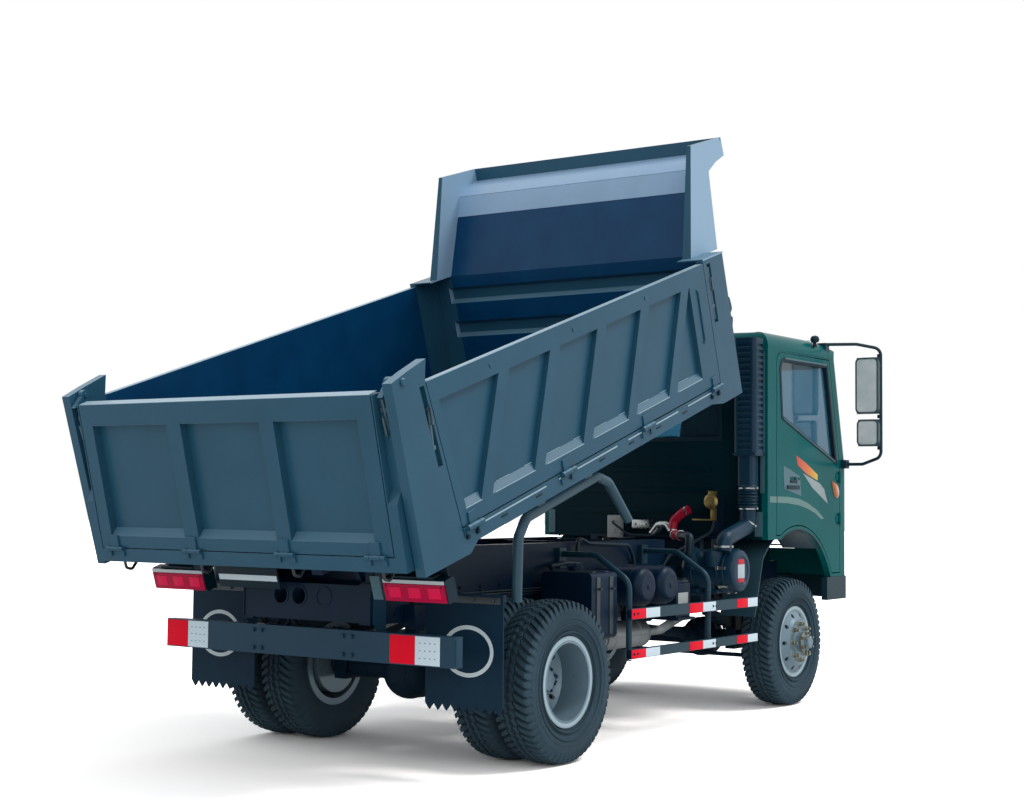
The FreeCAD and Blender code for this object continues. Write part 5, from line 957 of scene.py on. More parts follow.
for side, door, hand in ((1, "door_l", "left"), (-1, "door_r", "right")):
    place = beside(side)
    seal = bmesh.new()
    ring_strip(seal, window_corners, 0.013, -0.004, place, -0.0005, 0.0032)
    ring_strip(seal, window_corners, 0.0005, -0.013, place, -0.0195, 0.0012)
    put_on(seal, "window_seal_" + hand, trim_black, door)
    sill = bmesh.new()
    ring_strip(sill, [(2.795, 1.889), (3.615, 1.621), (3.618, 1.629), (2.797, 1.898)], 0.0, -0.001,
               place, 0.002, 0.006)
    cut_sheet(sill, [(2.795, 1.889), (3.615, 1.621), (3.618, 1.629), (2.797, 1.898)],
              place @ Matrix.Translation((0, 0, 0.0035)), 0.002)
    cut_sheet(sill, [(2.815, 2.287), (3.474, 2.287), (3.470, 2.298), (2.822, 2.298)],
              place @ Matrix.Translation((0, 0, 0.0035)), 0.002)
    put_on(sill, "window_strips_" + hand, trim_grey, door)
    for name, coat, corners in (("fire_stripe", vinyl_fire,
                                 [(2.99, 1.655), (3.139, 1.609), (3.326, 1.533), (3.326, 1.493),
                                  (3.15, 1.535), (3.013, 1.592)]),
                                ("silver_stripe", vinyl_silver,
                                 [(3.092, 1.539), (3.361, 1.474), (3.433, 1.434), (3.493, 1.334),
                                  (3.243, 1.442)])):
        stripe = bmesh.new()
        cut_sheet(stripe, corners, place @ Matrix.Translation((0, 0, 0.0004)), 0.0009)
        put_on(stripe, name + "_" + hand, coat, door)
    for first, last, body, part in ((0, 1, "chassis", "pillar"), (2, 7, door, "door")):
        curve = bmesh.new()
        top, low = arch_stripe
        cut_sheet(curve, top[first:last + 1] + low[first:last + 1][::-1],
                  place @ Matrix.Translation((0, 0, 0.0004)), 0.0009)
        put_on(curve, "arch_stripe_%s_%s" % (part, hand), vinyl_pale, body)
    lens = bmesh.new()
    leaf = [(3.560, 1.492), (3.600, 1.482), (3.640, 1.462), (3.662, 1.432), (3.664, 1.395),
            (3.640, 1.372), (3.612, 1.384), (3.590, 1.420), (3.572, 1.458)]
    for deep, shrink in ((0.0, 0.0), (0.008, -0.002), (0.014, -0.008)):
        ring = [place @ Vector((x, z, deep + 0.0005)) for x, z in grown_outline(leaf, shrink)]
        new_ring = [lens.verts.new(c) for c in ring]
        if deep:
            for i in range(len(leaf)):
                j = (i + 1) % len(leaf)
                lens.faces.new((old_ring[i], old_ring[j], new_ring[j], new_ring[i]))
        old_ring = new_ring
    lens.faces.new(old_ring)
    put_on(lens, "indicator_" + hand, lamp_amber, door, 60.0)
    plate = bmesh.new()
    for corners in ([(2.795, 1.585), (2.92, 1.553), (3.045, 1.517), (3.046, 1.512), (2.797, 1.512)],
                    [(2.797, 1.512), (2.890, 1.512), (2.890, 1.470), (2.803, 1.470)],
                    [(3.005, 1.512), (3.046, 1.512), (3.053, 1.470), (3.005, 1.470)],
                    [(2.803, 1.470), (3.053, 1.470), (3.066, 1.385), (2.811, 1.430)]):
        cut_sheet(plate, corners, place @ Matrix.Translation((0, 0, 0.0003)), 0.0016)
    put_on(plate, "handle_plate_" + hand, trim_grey, door)
    handle = bmesh.new()
    y = side * (cab_side_y + 0.0042)
    bar(handle, truck(2.940, y, 1.4425), (0.190, 0.0075, 0.026), 0.003)
    bar(handle, truck(2.945, side * (cab_side_y + 0.0010), 1.4835), (0.100, 0.006, 0.018), 0.002)
    lathed(handle, truck(3.030, side * (cab_side_y + 0.0016), 1.500), (0, side, 0),
           [(0, 0.010), (0.003, 0.009), (0.004, 0)], 20)
    put_on(handle, "door_handle_" + hand, trim_black, door)
    edge = bmesh.new()
    bent_pipe(edge,
              [truck(2.578, side * 0.857, roof_gutter),
               truck(3.05, side * 0.862, roof_gutter + 0.002),
               truck(3.560, side * 0.861, roof_gutter)], 0.006, 0.3, 10)
    bent_pipe(edge, [truck(2.572, side * 0.858, 1.14), truck(2.572, side * 0.858, 2.334)], 0.005,
              0.1, 10)
    put_on(edge, "cab_gutter_" + hand, cab_green, "chassis")
    corner = bmesh.new()
    bar(corner, truck(2.5665, side * 0.826, 1.86), (0.006, 0.030, 0.92), 0.002)
    bar(corner, truck(2.5665, side * 0.800, 1.20), (0.006, 0.055, 0.16), 0.002)
    put_on(corner, "corner_strip_" + hand, trim_grey, "chassis")
    lip = bmesh.new()
    arc = []
    for i in range(25):
        a = math.radians(118 - 68 * i / 24)
        arc.append(truck(arch_x + arch_radius * math.cos(a), side * (cab_side_y - 0.006),
                         arch_z + arch_radius * math.sin(a)))
    bent_pipe(lip, arc, 0.0075, 0.02, 8)
    put_on(lip, "arch_lip_" + hand, trim_black, "chassis")
    step = bmesh.new()
    bar(step, truck(3.675, side * 0.800, 0.812), (0.115, 0.10, 0.016), 0.003)
    put_on(step, "cab_step_" + hand, trim_black, "chassis")
rear_frame = bmesh.new()
rear_place = Matrix(((0, 0, -1, rear_axle_x + 2.570), (1, 0, 0, 0), (0, 1, 0, 0), (0, 0, 0, 1)))
rear_corners = [(-0.519, 1.760), (0.519, 1.760), (0.519, 2.170), (-0.519, 2.170)]
ring_strip(rear_frame, rear_corners, 0.016, -0.012, rear_place, -0.010, 0.0035)
put_on(rear_frame, "rear_window_seal", trim_black, "chassis")
# The wall ribs share the rear wall's painted shade.
rear_swages = bmesh.new()
for z in (1.28, 1.42, 1.56):
    bar(rear_swages, truck(2.5680, 0.10, z), (0.008, 1.10, 0.034), 0.0035)
put_on(rear_swages, "rear_wall_ribs", shaded_wall_green, "chassis")
nose_trim = bmesh.new()
bar(nose_trim, truck(3.918, 0.0, 1.240), (0.012, 0.30, 0.020), 0.003)
for side in (-1, 1):
    for i in range(3):
        bar(nose_trim, truck(3.905 - 0.012 * i, side * (0.32 + 0.10 * i), 1.240),
            (0.010, 0.085, 0.018), 0.003)
put_on(nose_trim, "front_strip", trim_grey, "chassis")
wipers = bmesh.new()
for y in (0.10, -0.52):
    foot = truck(3.915 - 0.10 * abs(y), y, 1.640)
    bent_pipe(wipers,
              [foot, foot + Vector((-0.004, 0.16, 0.030)), foot + Vector((-0.020, 0.40, 0.090))],
              0.0055, 0.04, 8)
    bar(wipers, foot + Vector((-0.012, 0.27, 0.062)), (0.010, 0.34, 0.012), 0.002,
        Matrix.Rotation(math.radians(12), 3, "X"))
    lathed(wipers, foot + Vector((-0.014, 0, 0)), (1, 0, 0.1),
           [(0, 0.013), (0.018, 0.012), (0.020, 0)], 16)
put_on(wipers, "wipers", trim_black, "chassis")
marker_lens = finish_coat("marker_lens", (0.55, 0.62, 0.66), 0.16, shade=0.10, clear=1.0)
marker = bmesh.new()
marker_foot = bmesh.new()
for y in (-0.70, 0.70):
    lathed(marker, truck(3.535, y, 2.412), (0, 0, 1),
           [(0.0, 0.046), (0.012, 0.046), (0.040, 0.042), (0.058, 0.030), (0.066, 0.014),
            (0.068, 0.0)], 32)
    lathed(marker_foot, truck(3.535, y, 2.386), (0, 0, 1),
           [(0.0, 0.050), (0.026, 0.050), (0.028, 0.046)], 32)
put_on(marker, "roof_lamps", marker_lens, "chassis")
put_on(marker_foot, "roof_lamp_feet", trim_black, "chassis")

# ---------------------------------------------------------------- glass
# Toughened glass with a slight blue-green tint, bonded into its rubber. Old wiper haze and dust
# make it a little uneven.
window_glass = finish_coat("window_glass", (0.16, 0.36, 0.48), 0.05, shade=0.10, gloss=0.3)
window_glass.node_tree.nodes["Principled BSDF"].inputs["Transmission Weight"].default_value = 0.92
window_glass.node_tree.nodes["Principled BSDF"].inputs["IOR"].default_value = 1.45
paint_nodes(window_glass, "cab_glass", "door_glass_left", "door_glass_right")

# ---------------------------------------------------------------- seats and dashboard
# Sprung seats with foam cushions in a dark woven cloth, sewn in channels and piped at the sides.
# The moulded base under each is black, and the dashboard is grained grey plastic.
seat_cloth = finish_coat("seat_cloth", (0.022, 0.045, 0.062), 0.86, shade=0.2, gloss=0.15)
cloth_tree = seat_cloth.node_tree
cloth_place = cloth_tree.nodes.new("ShaderNodeTexCoord")
warp, weft = cloth_tree.nodes.new("ShaderNodeTexWave"), cloth_tree.nodes.new("ShaderNodeTexWave")
warp.bands_direction, weft.bands_direction = "Y", "Z"
weave = cloth_tree.nodes.new("ShaderNodeMath")
weave.operation = "MULTIPLY"
for threads in (warp, weft):
    threads.inputs["Scale"].default_value = 160.0
    cloth_tree.links.new(cloth_place.outputs["Object"], threads.inputs["Vector"])
cloth_tree.links.new(warp.outputs["Fac"], weave.inputs[0])
cloth_tree.links.new(weft.outputs["Fac"], weave.inputs[1])
cloth_relief = cloth_tree.nodes.new("ShaderNodeBump")
cloth_relief.inputs["Strength"].default_value = 0.5
cloth_relief.inputs["Distance"].default_value = 0.0008
cloth_tree.links.new(weave.outputs[0], cloth_relief.inputs["Height"])
cloth_tree.links.new(cloth_relief.outputs["Normal"],
                     cloth_tree.nodes["Principled BSDF"].inputs["Normal"])


def cushion(name, middle, size, lean, channels):
    """Crowned foam cushion, fullest in its middle, with sewn channels across its face."""
    kit = bmesh.new()
    bmesh.ops.create_cube(kit, size=2.0)
    bmesh.ops.subdivide_edges(kit, edges=kit.edges[:], cuts=13, use_grid_fill=True)
    turn_back = Matrix.Rotation(lean, 3, "Y")
    for vert in kit.verts:
        a, b, c = vert.co
        pull = Vector((a * (1 - 0.10 * b * b - 0.10 * c * c), b * (1 - 0.07 * a * a - 0.16 * c * c),
                       c * (1 - 0.16 * a * a - 0.16 * b * b)))
        groove = sum(math.exp(-((b - line) / 0.045) ** 2) for line in channels)
        seam = math.exp(-(c / 0.10) ** 2)
        pull.z -= 0.10 * groove * max(0.0, c) * (1 - 0.4 * a * a)
        if abs(c) < 0.5:
            pull.x *= 1 - 0.025 * seam
            pull.y *= 1 - 0.025 * seam
        pull = Vector((pull.x * size[0] / 2, pull.y * size[1] / 2, pull.z * size[2] / 2))
        vert.co = Vector(middle) + turn_back @ pull
    piece = put_on(kit, name, seat_cloth, "chassis", 80.0)
    smooth = piece.modifiers.new("rounding", "SUBSURF")
    smooth.levels = smooth.render_levels = 1
    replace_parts(piece, "seats")
    return piece


for hand, y0, y1 in (("driver", 0.169, 0.639), ("mate", -0.639, -0.119)):
    y, wide = (y0 + y1) / 2, y1 - y0
    cushion("seat_cushion_" + hand, truck(2.975, y, 1.487), (0.500, wide, 0.140), -0.05,
            (-0.42, 0.42))
    cushion("seat_back_" + hand, truck(2.742, y, 1.800), (0.520, wide - 0.02, 0.150), -1.40,
            (-0.42, 0.42))
    cushion("head_rest_" + hand, truck(2.685, y, 2.095), (0.150, 0.26, 0.075), -1.40, ())
    seat_base = bmesh.new()
    bar(seat_base, truck(2.935, y, 1.312), (0.420, wide - 0.06, 0.220), 0.012)
    bar(seat_base, truck(2.765, y, 1.450), (0.030, wide - 0.10, 0.120), 0.006)
    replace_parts(put_on(seat_base, "seat_base_" + hand, trim_black, "chassis"), "seats")
dash_grey = finish_coat("dash_grey", (0.030, 0.048, 0.058), 0.6, gloss=0.3, grain=0.5,
                        grain_size=300.0)
paint_nodes(dash_grey, "dashboard")
paint_nodes(trim_black, "cab_floor")
headliner = bmesh.new()
bar(headliner, truck(3.06, 0.0, 2.338), (0.90, 1.55, 0.010), 0.004)
bar(headliner, truck(3.04, 0.790, 2.270), (0.82, 0.014, 0.125), 0.005)
put_on(headliner, "headliner", battery_white, "chassis")

# ---------------------------------------------------------------- bumper, lamps, mudguards, mirrors
# Moulded dark plastic bolted round the cab. The mirrors hang on a bent steel tube, with glass in a
# rounded shell; the glass is painted pale as a painted reflection of the sky. The headlamps are
# clear polycarbonate over a bright bowl.
bumper_dark = finish_coat("bumper_dark", (0.006, 0.034, 0.050), 0.42, gloss=0.25, grain=0.3)
guard_sheet = finish_coat("guard_sheet", (0.030, 0.080, 0.110), 0.40, gloss=0.25, grain=0.3)
paint_nodes(bumper_dark, "front_bumper", "mirrors")
paint_nodes(guard_sheet, "front_mudguards")
lamp_clear = finish_coat("lamp_clear", (0.42, 0.50, 0.54), 0.12, metal=0.5, clear=1.0)
paint_nodes(lamp_clear, "headlamps")
# The mirror glass is near white and barely metallic: a painted reflection of the bright sky.
mirror_sky_reflection = finish_coat("mirror_sky_reflection", (0.85, 0.98, 1.0), 0.12, metal=0.10, shade=0.30,
                            gloss=0.5)
mirror_shell = finish_coat("mirror_shell", (0.045, 0.095, 0.105), 0.3, gloss=0.5, clear=0.4)
for side, hand in ((1, "left"), (-1, "right")):
    glass, shell = bmesh.new(), bmesh.new()
    mirror_place = Matrix(((0, 0, -1, rear_axle_x + 3.660), (side, 0, 0, 0), (0, 1, 0, 0),
                           (0, 0, 0, 1)))
    for z0, z1, y0 in ((1.960, 2.350, 0.999), (1.735, 1.920, 1.009)):
        y1, r = 1.169, 0.034
        rounded = []
        for cy, cz, start in ((y1 - r, z1 - r, 0), (y0 + r, z1 - r, 90), (y0 + r, z0 + r, 180),
                              (y1 - r, z0 + r, 270)):
            for i in range(5):
                a = math.radians(start + 22.5 * i)
                rounded.append((cy + r * math.cos(a), cz + r * math.sin(a)))
        cut_sheet(glass, grown_outline(rounded, -0.012),
                  mirror_place @ Matrix.Translation((0, 0, 0.0005)), 0.002)
        ring_strip(shell, rounded, -0.001, -0.012, mirror_place, -0.004, 0.007)
        ring_strip(shell, rounded, 0.0008, -0.004, mirror_place, -0.066, -0.002)
    put_on(glass, "mirror_glass_" + hand, mirror_sky_reflection, "chassis")
    put_on(shell, "mirror_shell_" + hand, mirror_shell, "chassis")
    joints = bmesh.new()
    for z in (1.940, 2.362, 1.722):
        lathed(joints, truck(3.700, side * 1.1575, z - 0.012), (0, 0, 1),
               [(0, 0.010), (0.002, 0.0148), (0.022, 0.0148), (0.024, 0.010)], 20)
    lathed(joints, truck(3.745, side * 0.868, 1.612), (0, side, 0),
           [(0, 0.020), (0.036, 0.020), (0.046, 0.014), (0.048, 0)], 24)
    lathed(joints, truck(3.300, side * 0.858, 2.405), (0, 0, 1),
           [(0, 0.016), (0.018, 0.012), (0.030, 0.012), (0.034, 0.026), (0.052, 0.032),
            (0.070, 0.026), (0.078, 0.010), (0.079, 0)], 24)
    put_on(joints, "mirror_joints_" + hand, trim_black, "chassis")
    bowls = bmesh.new()
    for y in (0.565, 0.690):
        lathed(bowls, truck(3.902 - 0.15 * (y - 0.565), side * y, 0.980), (1, side * 0.2, 0),
               [(0.0, 0.0), (0.004, 0.030), (0.010, 0.048), (0.014, 0.056), (0.014, 0.059),
                (0.004, 0.060)], 36)
    put_on(bowls, "lamp_bowls_" + hand, clip_steel, "chassis")
number_plate = bmesh.new()
bar(number_plate, truck(3.9335, 0.0, 0.895), (0.004, 0.40, 0.085), 0.001)
put_on(number_plate, "number_plate", battery_white, "chassis")

# ---------------------------------------------------------------- hoist
# A single hydraulic ram pushes the body up from a cross shaft in the frame. The barrel is painted
# with the chassis, and the rod is hard chrome.
paint_nodes(chassis_black, "hoist_barrel")
ram_chrome = finish_coat("ram_chrome", (0.62, 0.64, 0.66), 0.10, metal=1.0, shade=0.04)
paint_nodes(ram_chrome, "hoist_rod")

# ---------------------------------------------------------------- tipper body: floor and frame
# Welded sheet steel in slate enamel on black bearers, with the load side darkened to navy as
# painted shade. Lengths here are taken from the tipping hinge: along the floor, out to one side,
# and up from the floor.
tip_angle = math.radians(18.0)
tip_hinge = Vector(hinges["bed_tip"]["pos_m"])
bed_along = Vector((math.cos(tip_angle), 0.0, math.sin(tip_angle)))
bed_up = Vector((-math.sin(tip_angle), 0.0, math.cos(tip_angle)))
bed_turn = Matrix((bed_along, Vector((0, 1, 0)), bed_up)).transposed()


def on_bed(u, v, w):
    """Point on the raised body."""
    return tip_hinge + bed_along * u + Vector((0.0, v, 0.0)) + bed_up * w


# One coat serves all the sheet: navy as painted shade wherever it lies on the load side of the
# boards.
load_side_shade = (0.0004, 0.042, 0.120, 1.0)


def slate_with_load_shade(name, tests, flank=None, either=False):
    """Slate paint with the load side darkened to navy as painted shade, behind planes given as
    (normal, reach, mirrored).

    With either, being behind one of the first two planes is enough. Faces that look up, and with a
    flank colour faces that look sideways, are lightened as painted light.
    """
    made = finish_coat(name, (0.020, 0.090, 0.150), 0.34, shade=0.07, gloss=0.22, grain=0.12,
                       lit_top=(0.13, 0.25, 0.34), flank=flank)
    tree = made.node_tree
    skin = tree.nodes["Principled BSDF"]
    outside = skin.inputs["Base Color"].links[0].from_socket
    place = tree.nodes.new("ShaderNodeTexCoord")
    last = None
    for normal, reach, mirrored in tests:
        spot = place.outputs["Object"]
        if mirrored:
            fold = tree.nodes.new("ShaderNodeVectorMath")
            fold.operation = "ABSOLUTE"
            tree.links.new(spot, fold.inputs[0])
            spot = fold.outputs[0]
        dot = tree.nodes.new("ShaderNodeVectorMath")
        dot.operation = "DOT_PRODUCT"
        dot.inputs[1].default_value = normal
        tree.links.new(spot, dot.inputs[0])
        below = tree.nodes.new("ShaderNodeMath")
        below.operation = "LESS_THAN"
        below.inputs[1].default_value = reach
        tree.links.new(dot.outputs["Value"], below.inputs[0])
        if last is None:
            last = below.outputs[0]
        else:
            both = tree.nodes.new("ShaderNodeMath")
            both.operation = "MAXIMUM" if either else "MULTIPLY"
            either = False
            tree.links.new(last, both.inputs[0])
            tree.links.new(below.outputs[0], both.inputs[1])
            last = both.outputs[0]
    shade_patches = tree.nodes.new("ShaderNodeTexNoise")
    shade_patches.inputs["Scale"].default_value = 5.0
    shade_patches.inputs["Detail"].default_value = 8.0
    tree.links.new(place.outputs["Object"], shade_patches.inputs["Vector"])
    shade_tones = tree.nodes.new("ShaderNodeValToRGB")
    shade_tones.color_ramp.elements[0].position = 0.35
    shade_tones.color_ramp.elements[1].position = 0.75
    shade_tones.color_ramp.elements[0].color = load_side_shade
    shade_tones.color_ramp.elements[1].color = (0.0012, 0.056, 0.145, 1.0)
    tree.links.new(shade_patches.outputs["Fac"], shade_tones.inputs["Fac"])
    pick = tree.nodes.new("ShaderNodeMix")
    pick.data_type = "RGBA"
    tree.links.new(last, pick.inputs[0])
    tree.links.new(outside, pick.inputs[6])
    tree.links.new(shade_tones.outputs["Color"], pick.inputs[7])
    tree.links.new(pick.outputs[2], skin.inputs["Base Color"])
    return made


head_plane = on_bed(2.8025, 0, 0).dot(bed_along)
head_slope = (bed_along * (1367 - 1015) - bed_up * (2985 - 2800)).normalized()
slope_plane = on_bed(2.8045, 0, 1.015).dot(head_slope)
board_paint = slate_with_load_shade("board_paint", [((0.0, 1.0, 0.0), 1.0345, True)])
floor_paint_top = slate_with_load_shade("floor_paint",
                           [((0.0, 1.0, 0.0), 0.978, True),
                            (tuple(-bed_up), -on_bed(0, 0, 0.2725).dot(bed_up), False)])
# The headboard's sideways faces are lightened by the flank colour as painted light.
head_paint = slate_with_load_shade("head_paint",
                      [(tuple(bed_along), head_plane, False),
                       (tuple(head_slope), slope_plane, False),
                       ((0.0, 1.0, 0.0), 0.908, True),
                       (tuple(bed_up), on_bed(0, 0, 1.375).dot(bed_up), False)],
                      flank=(0.30, 0.46, 0.62), either=True)
paint_nodes(board_paint, "side_board_left", "side_board_right")
paint_nodes(floor_paint_top, "bed_floor")
paint_nodes(head_paint, "bed_headboard")
paint_nodes(slate_paint, "bed_posts", "tailgate_frame", "tailgate_panel")
paint_nodes(chassis_black, "bed_frame")
tube_out = 1.014
tube_route = [(0.300, -0.235), (0.405, 0.060), (0.500, 0.134), (1.190, 0.134), (1.290, 0.070),
              (1.425, -0.185)]
# The tubes' up-facing faces take a paler colour as painted light.
tube_slate = finish_coat("tube_slate", (0.030, 0.080, 0.115), 0.34, gloss=0.3, grain=0.15,
                         lit_top=(0.10, 0.19, 0.25))
for side, hand in ((1, "left"), (-1, "right")):
    bend = bmesh.new()
    bent_pipe(bend, [on_bed(u, side * tube_out, w) for u, w in tube_route], 0.0265, 0.07, 18)
    for u in (0.62, 1.08):
        bar(bend, on_bed(u, side * tube_out, 0.1755), (0.070, 0.046, 0.030), 0.004, bed_turn)
    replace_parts(put_on(bend, "fender_tube_" + hand, tube_slate, "tipper_bed"), "fender_tubes")
# A pale band over the sloping fold of the headboard is painted light, where the slope faces the
# sky.
head_band_lit = finish_coat("head_band_lit", (0.32, 0.47, 0.66), 0.34, shade=0.06, gloss=0.25, grain=0.12)
lit_band = bmesh.new()
band = [(2.9865, 1.372), (3.0445, 1.4985), (3.1610, 1.5505), (3.2690, 1.5705)]
for (u0, w0), (u1, w1) in zip(band, band[1:]):
    rise = math.atan2(w1 - w0, u1 - u0)
    run = Matrix.Rotation(-tip_angle - rise, 3, "Y")
    bar(lit_band, on_bed((u0 + u1) / 2, 0.0, (w0 + w1) / 2) + run @ Vector((0, 0, 0.0012)),
        (math.hypot(u1 - u0, w1 - w0) - 0.002, 1.868, 0.0016), 0.0005, run)
put_on(lit_band, "head_band", head_band_lit, "tipper_bed")
sill_bolts = bmesh.new()
for side in (-1, 1):
    for u in (-0.070, 0.010, 2.44, 2.52):
        bolt(sill_bolts, on_bed(u, side * 1.0795, 0.232), (0, side, 0), 0.020, 0.012)
    for u in [0.24 + 0.31 * i for i in range(7)]:
        bar(sill_bolts, on_bed(u, side * 1.0800, 0.2325), (0.055, 0.0022, 0.010), 0.001, bed_turn)
put_on(sill_bolts, "sill_bolts", trim_black, "tipper_bed")
wedge_plates = bmesh.new()
for side in (-1, 1):
    for u in (0.565, 1.015, 1.425, 1.835, 2.245):
        place = Matrix.Translation(on_bed(u - 0.006, 0, 0)) @ bed_turn.to_4x4()
        low = [(side * 0.976, 0.188), (side * 0.976, 0.1895), (side * 0.66, 0.1895),
               (side * 0.66, 0.150)]
        plane = place @ Matrix(((0, 0, 1, 0), (1, 0, 0, 0), (0, 1, 0, 0), (0, 0, 0, 1)))
        cut_sheet(wedge_plates, low, plane, 0.010)
put_on(wedge_plates, "bearer_gussets", chassis_black, "tipper_bed")

# ---------------------------------------------------------------- drop sides
# Each side board is a skin on ribs, hinged to the sill and held at its ends by lock rods that
# slide in the posts. The ledges along the foot, the top edge and the hinge rods are painted pale
# as a painted highlight.
# Pale coat for ledges, edges and hinge rods: a painted highlight where they catch the light.
edge_highlight = finish_coat("edge_highlight", (0.34, 0.48, 0.57), 0.36, shade=0.10, gloss=0.3)
lock_steel = finish_coat("lock_steel", (0.075, 0.135, 0.170), 0.34, metal=0.35, shade=0.25)
ledge_shift, lock_out = 0.29, 1.0665
for side, body, hand in ((1, "side_board_l", "left"), (-1, "side_board_r", "right")):
    ledges = bmesh.new()
    starts = [0.097 + 0.467 * i for i in range(5)]
    foot_bays = [(-0.045, starts[0] - 0.008)]
    foot_bays += [(s + 0.104, e - 0.008) for s, e in zip(starts, starts[1:])]
    foot_bays.append((starts[-1] + 0.104, 2.358))
    for a, b in foot_bays:
        bar(ledges, on_bed((a + b) / 2, side * 1.0785, 0.3605), (b - a, 0.0035, 0.0045), 0.001,
            bed_turn)
        bar(ledges, on_bed((a + b) / 2 + ledge_shift, side * 1.0535, 0.3985),
            (b - a - 0.02, 0.0030, 0.0030), 0.001, bed_turn)
    bar(ledges, on_bed(1.20, side * 1.0560, 0.9970), (2.70, 0.038, 0.0022), 0.001, bed_turn)
    put_on(ledges, "board_ledges_" + hand, edge_highlight, body)
    hinge_rods = bmesh.new()
    for u0, u1 in ((0.06, 0.62), (0.74, 1.33), (1.45, 2.02), (2.14, 2.44)):
        bar(hinge_rods, on_bed((u0 + u1) / 2, side * 1.0812, 0.2580), (u1 - u0, 0.0030, 0.0080),
            0.001, bed_turn)
    put_on(hinge_rods, "hinge_rods_" + hand, edge_highlight, "tipper_bed")
    caps = bmesh.new()
    for u in (0.34, 1.10, 1.86):
        lathed(caps, on_bed(u, side * 1.0790, 0.946), (0, side, 0),
               [(0, 0.013), (0.004, 0.012), (0.005, 0)], 16)
    bent_pipe(caps, [on_bed(2.450, side * 1.0835, 0.860), on_bed(2.450, side * 1.0835, 0.560)],
              0.0045, 0.02, 8)
    for w in (0.86, 0.56):
        bar(caps, on_bed(2.450, side * 1.0815, w), (0.026, 0.006, 0.018), 0.002, bed_turn)
    put_on(caps, "board_studs_" + hand, slate_paint, body)
    locks = bmesh.new()
    for u0, w0, u1, w1 in ((-0.204, 0.605, -0.160, 0.960), (2.6305, 0.655, 2.6305, 0.965)):
        bent_pipe(locks, [on_bed(u0, side * lock_out, w0), on_bed(u1, side * lock_out, w1)], 0.0095,
                  0.02, 14)
        for t in (0.25, 0.75):
            u, w = u0 + (u1 - u0) * t, w0 + (w1 - w0) * t
            bar(locks, on_bed(u, side * 1.0660, w), (0.034, 0.018, 0.020), 0.003, bed_turn)
        u, w = u0 + (u1 - u0) * 0.55, w0 + (w1 - w0) * 0.55
        bent_pipe(locks, [on_bed(u, side * lock_out, w), on_bed(u, side * 1.0845, w + 0.004),
                          on_bed(u + 0.004, side * 1.0845, w + 0.080)], 0.0055, 0.012, 10)
    put_on(locks, "post_locks_" + hand, lock_steel, "tipper_bed")
    # A black strip on the post stands in for the shade inside the lock slot: painted shade.
    slot_shade = bmesh.new()
    bar(slot_shade, on_bed(2.6305, side * 1.0580, 0.810), (0.042, 0.002, 0.345), 0.0006, bed_turn)
    put_on(slot_shade, "lock_slot_shades_" + hand, trim_black, "tipper_bed")

# ---------------------------------------------------------------- tailgate
# The gate hangs from two pins at its head. Its drop panel folds down on hinges at the foot, and
# lock rods in the stiles hold it shut. Pressed ledges close the top and foot of each cell.
gate_tilt = tip_angle + math.radians(3.6)
gate_in = Vector((math.cos(gate_tilt), 0.0, math.sin(gate_tilt)))
gate_down = Vector((math.sin(gate_tilt), 0.0, -math.cos(gate_tilt)))
gate_turn = Matrix((gate_in, Vector((0, -1, 0)), gate_down)).transposed()
gate_head = on_bed(-0.421, 0.0, 1.006)


def on_gate(d, v, s):
    """Point on the gate: in from its outer face, to the left of the middle, down from its top."""
    return gate_head + gate_in * d + Vector((0.0, v, 0.0)) + gate_down * s


gate_axes = Matrix((Vector((0, 1, 0)), gate_down, gate_in)).transposed().to_4x4()
gate_face = Matrix.Translation(on_gate(0, 0, 0)) @ gate_axes
# The gate's ledges, corner gussets, top edge and stile slopes take the painted highlight.
gate_ledges, gate_corners = bmesh.new(), bmesh.new()
for v0, v1 in ((0.350, 0.877), (-0.262, 0.256), (-0.860, -0.353)):
    bar(gate_ledges, on_gate(0.0015, (v0 + v1) / 2, 0.1095), (0.004, v1 - v0 - 0.004, 0.005), 0.001,
        gate_turn)
    bar(gate_ledges, on_gate(0.0030, (v0 + v1) / 2, 0.6765), (0.006, v1 - v0 - 0.006, 0.006), 0.001,
        gate_turn)
    for v, way in ((v0, 1), (v1, -1)):
        cut_sheet(gate_corners, [(v, 0.640), (v + way * 0.036, 0.679), (v, 0.679)],
                  gate_face @ Matrix.Translation((0, 0, 0.004)), 0.030)
put_on(gate_ledges, "gate_ledges", edge_highlight, "gate_panel")
put_on(gate_corners, "gate_gussets", edge_highlight, "gate_panel")
gate_pad = bmesh.new()
bar(gate_pad, on_gate(0.0455, -0.685, 0.2225), (0.008, 0.33, 0.150), 0.004, gate_turn)
bar(gate_pad, on_gate(0.0405, -0.685, 0.2225), (0.003, 0.300, 0.120), 0.0012, gate_turn)
put_on(gate_pad, "gate_pad", slate_paint, "gate_panel")
corner_straps = bmesh.new()
for v in (0.857, 0.305, -0.305, -0.857):
    bar(corner_straps, on_gate(-0.0030, v, 0.640), (0.005, 0.052, 0.075), 0.001, gate_turn)
    bar(corner_straps, on_gate(-0.0030, v - 0.034, 0.6745), (0.005, 0.060, 0.006), 0.001, gate_turn)
    for s in (0.622, 0.654):
        lathed(corner_straps, on_gate(-0.0055, v, s), tuple(-gate_in),
               [(0, 0.008), (0.003, 0.007), (0.004, 0)], 14)
put_on(corner_straps, "gate_straps", slate_paint, "gate_panel")
gate_top = bmesh.new()
bar(gate_top, on_gate(0.030, 0.0, -0.0012), (0.058, 1.90, 0.0022), 0.001, gate_turn)
put_on(gate_top, "gate_top_edge", edge_highlight, "gate_panel")
rod_out = 0.994
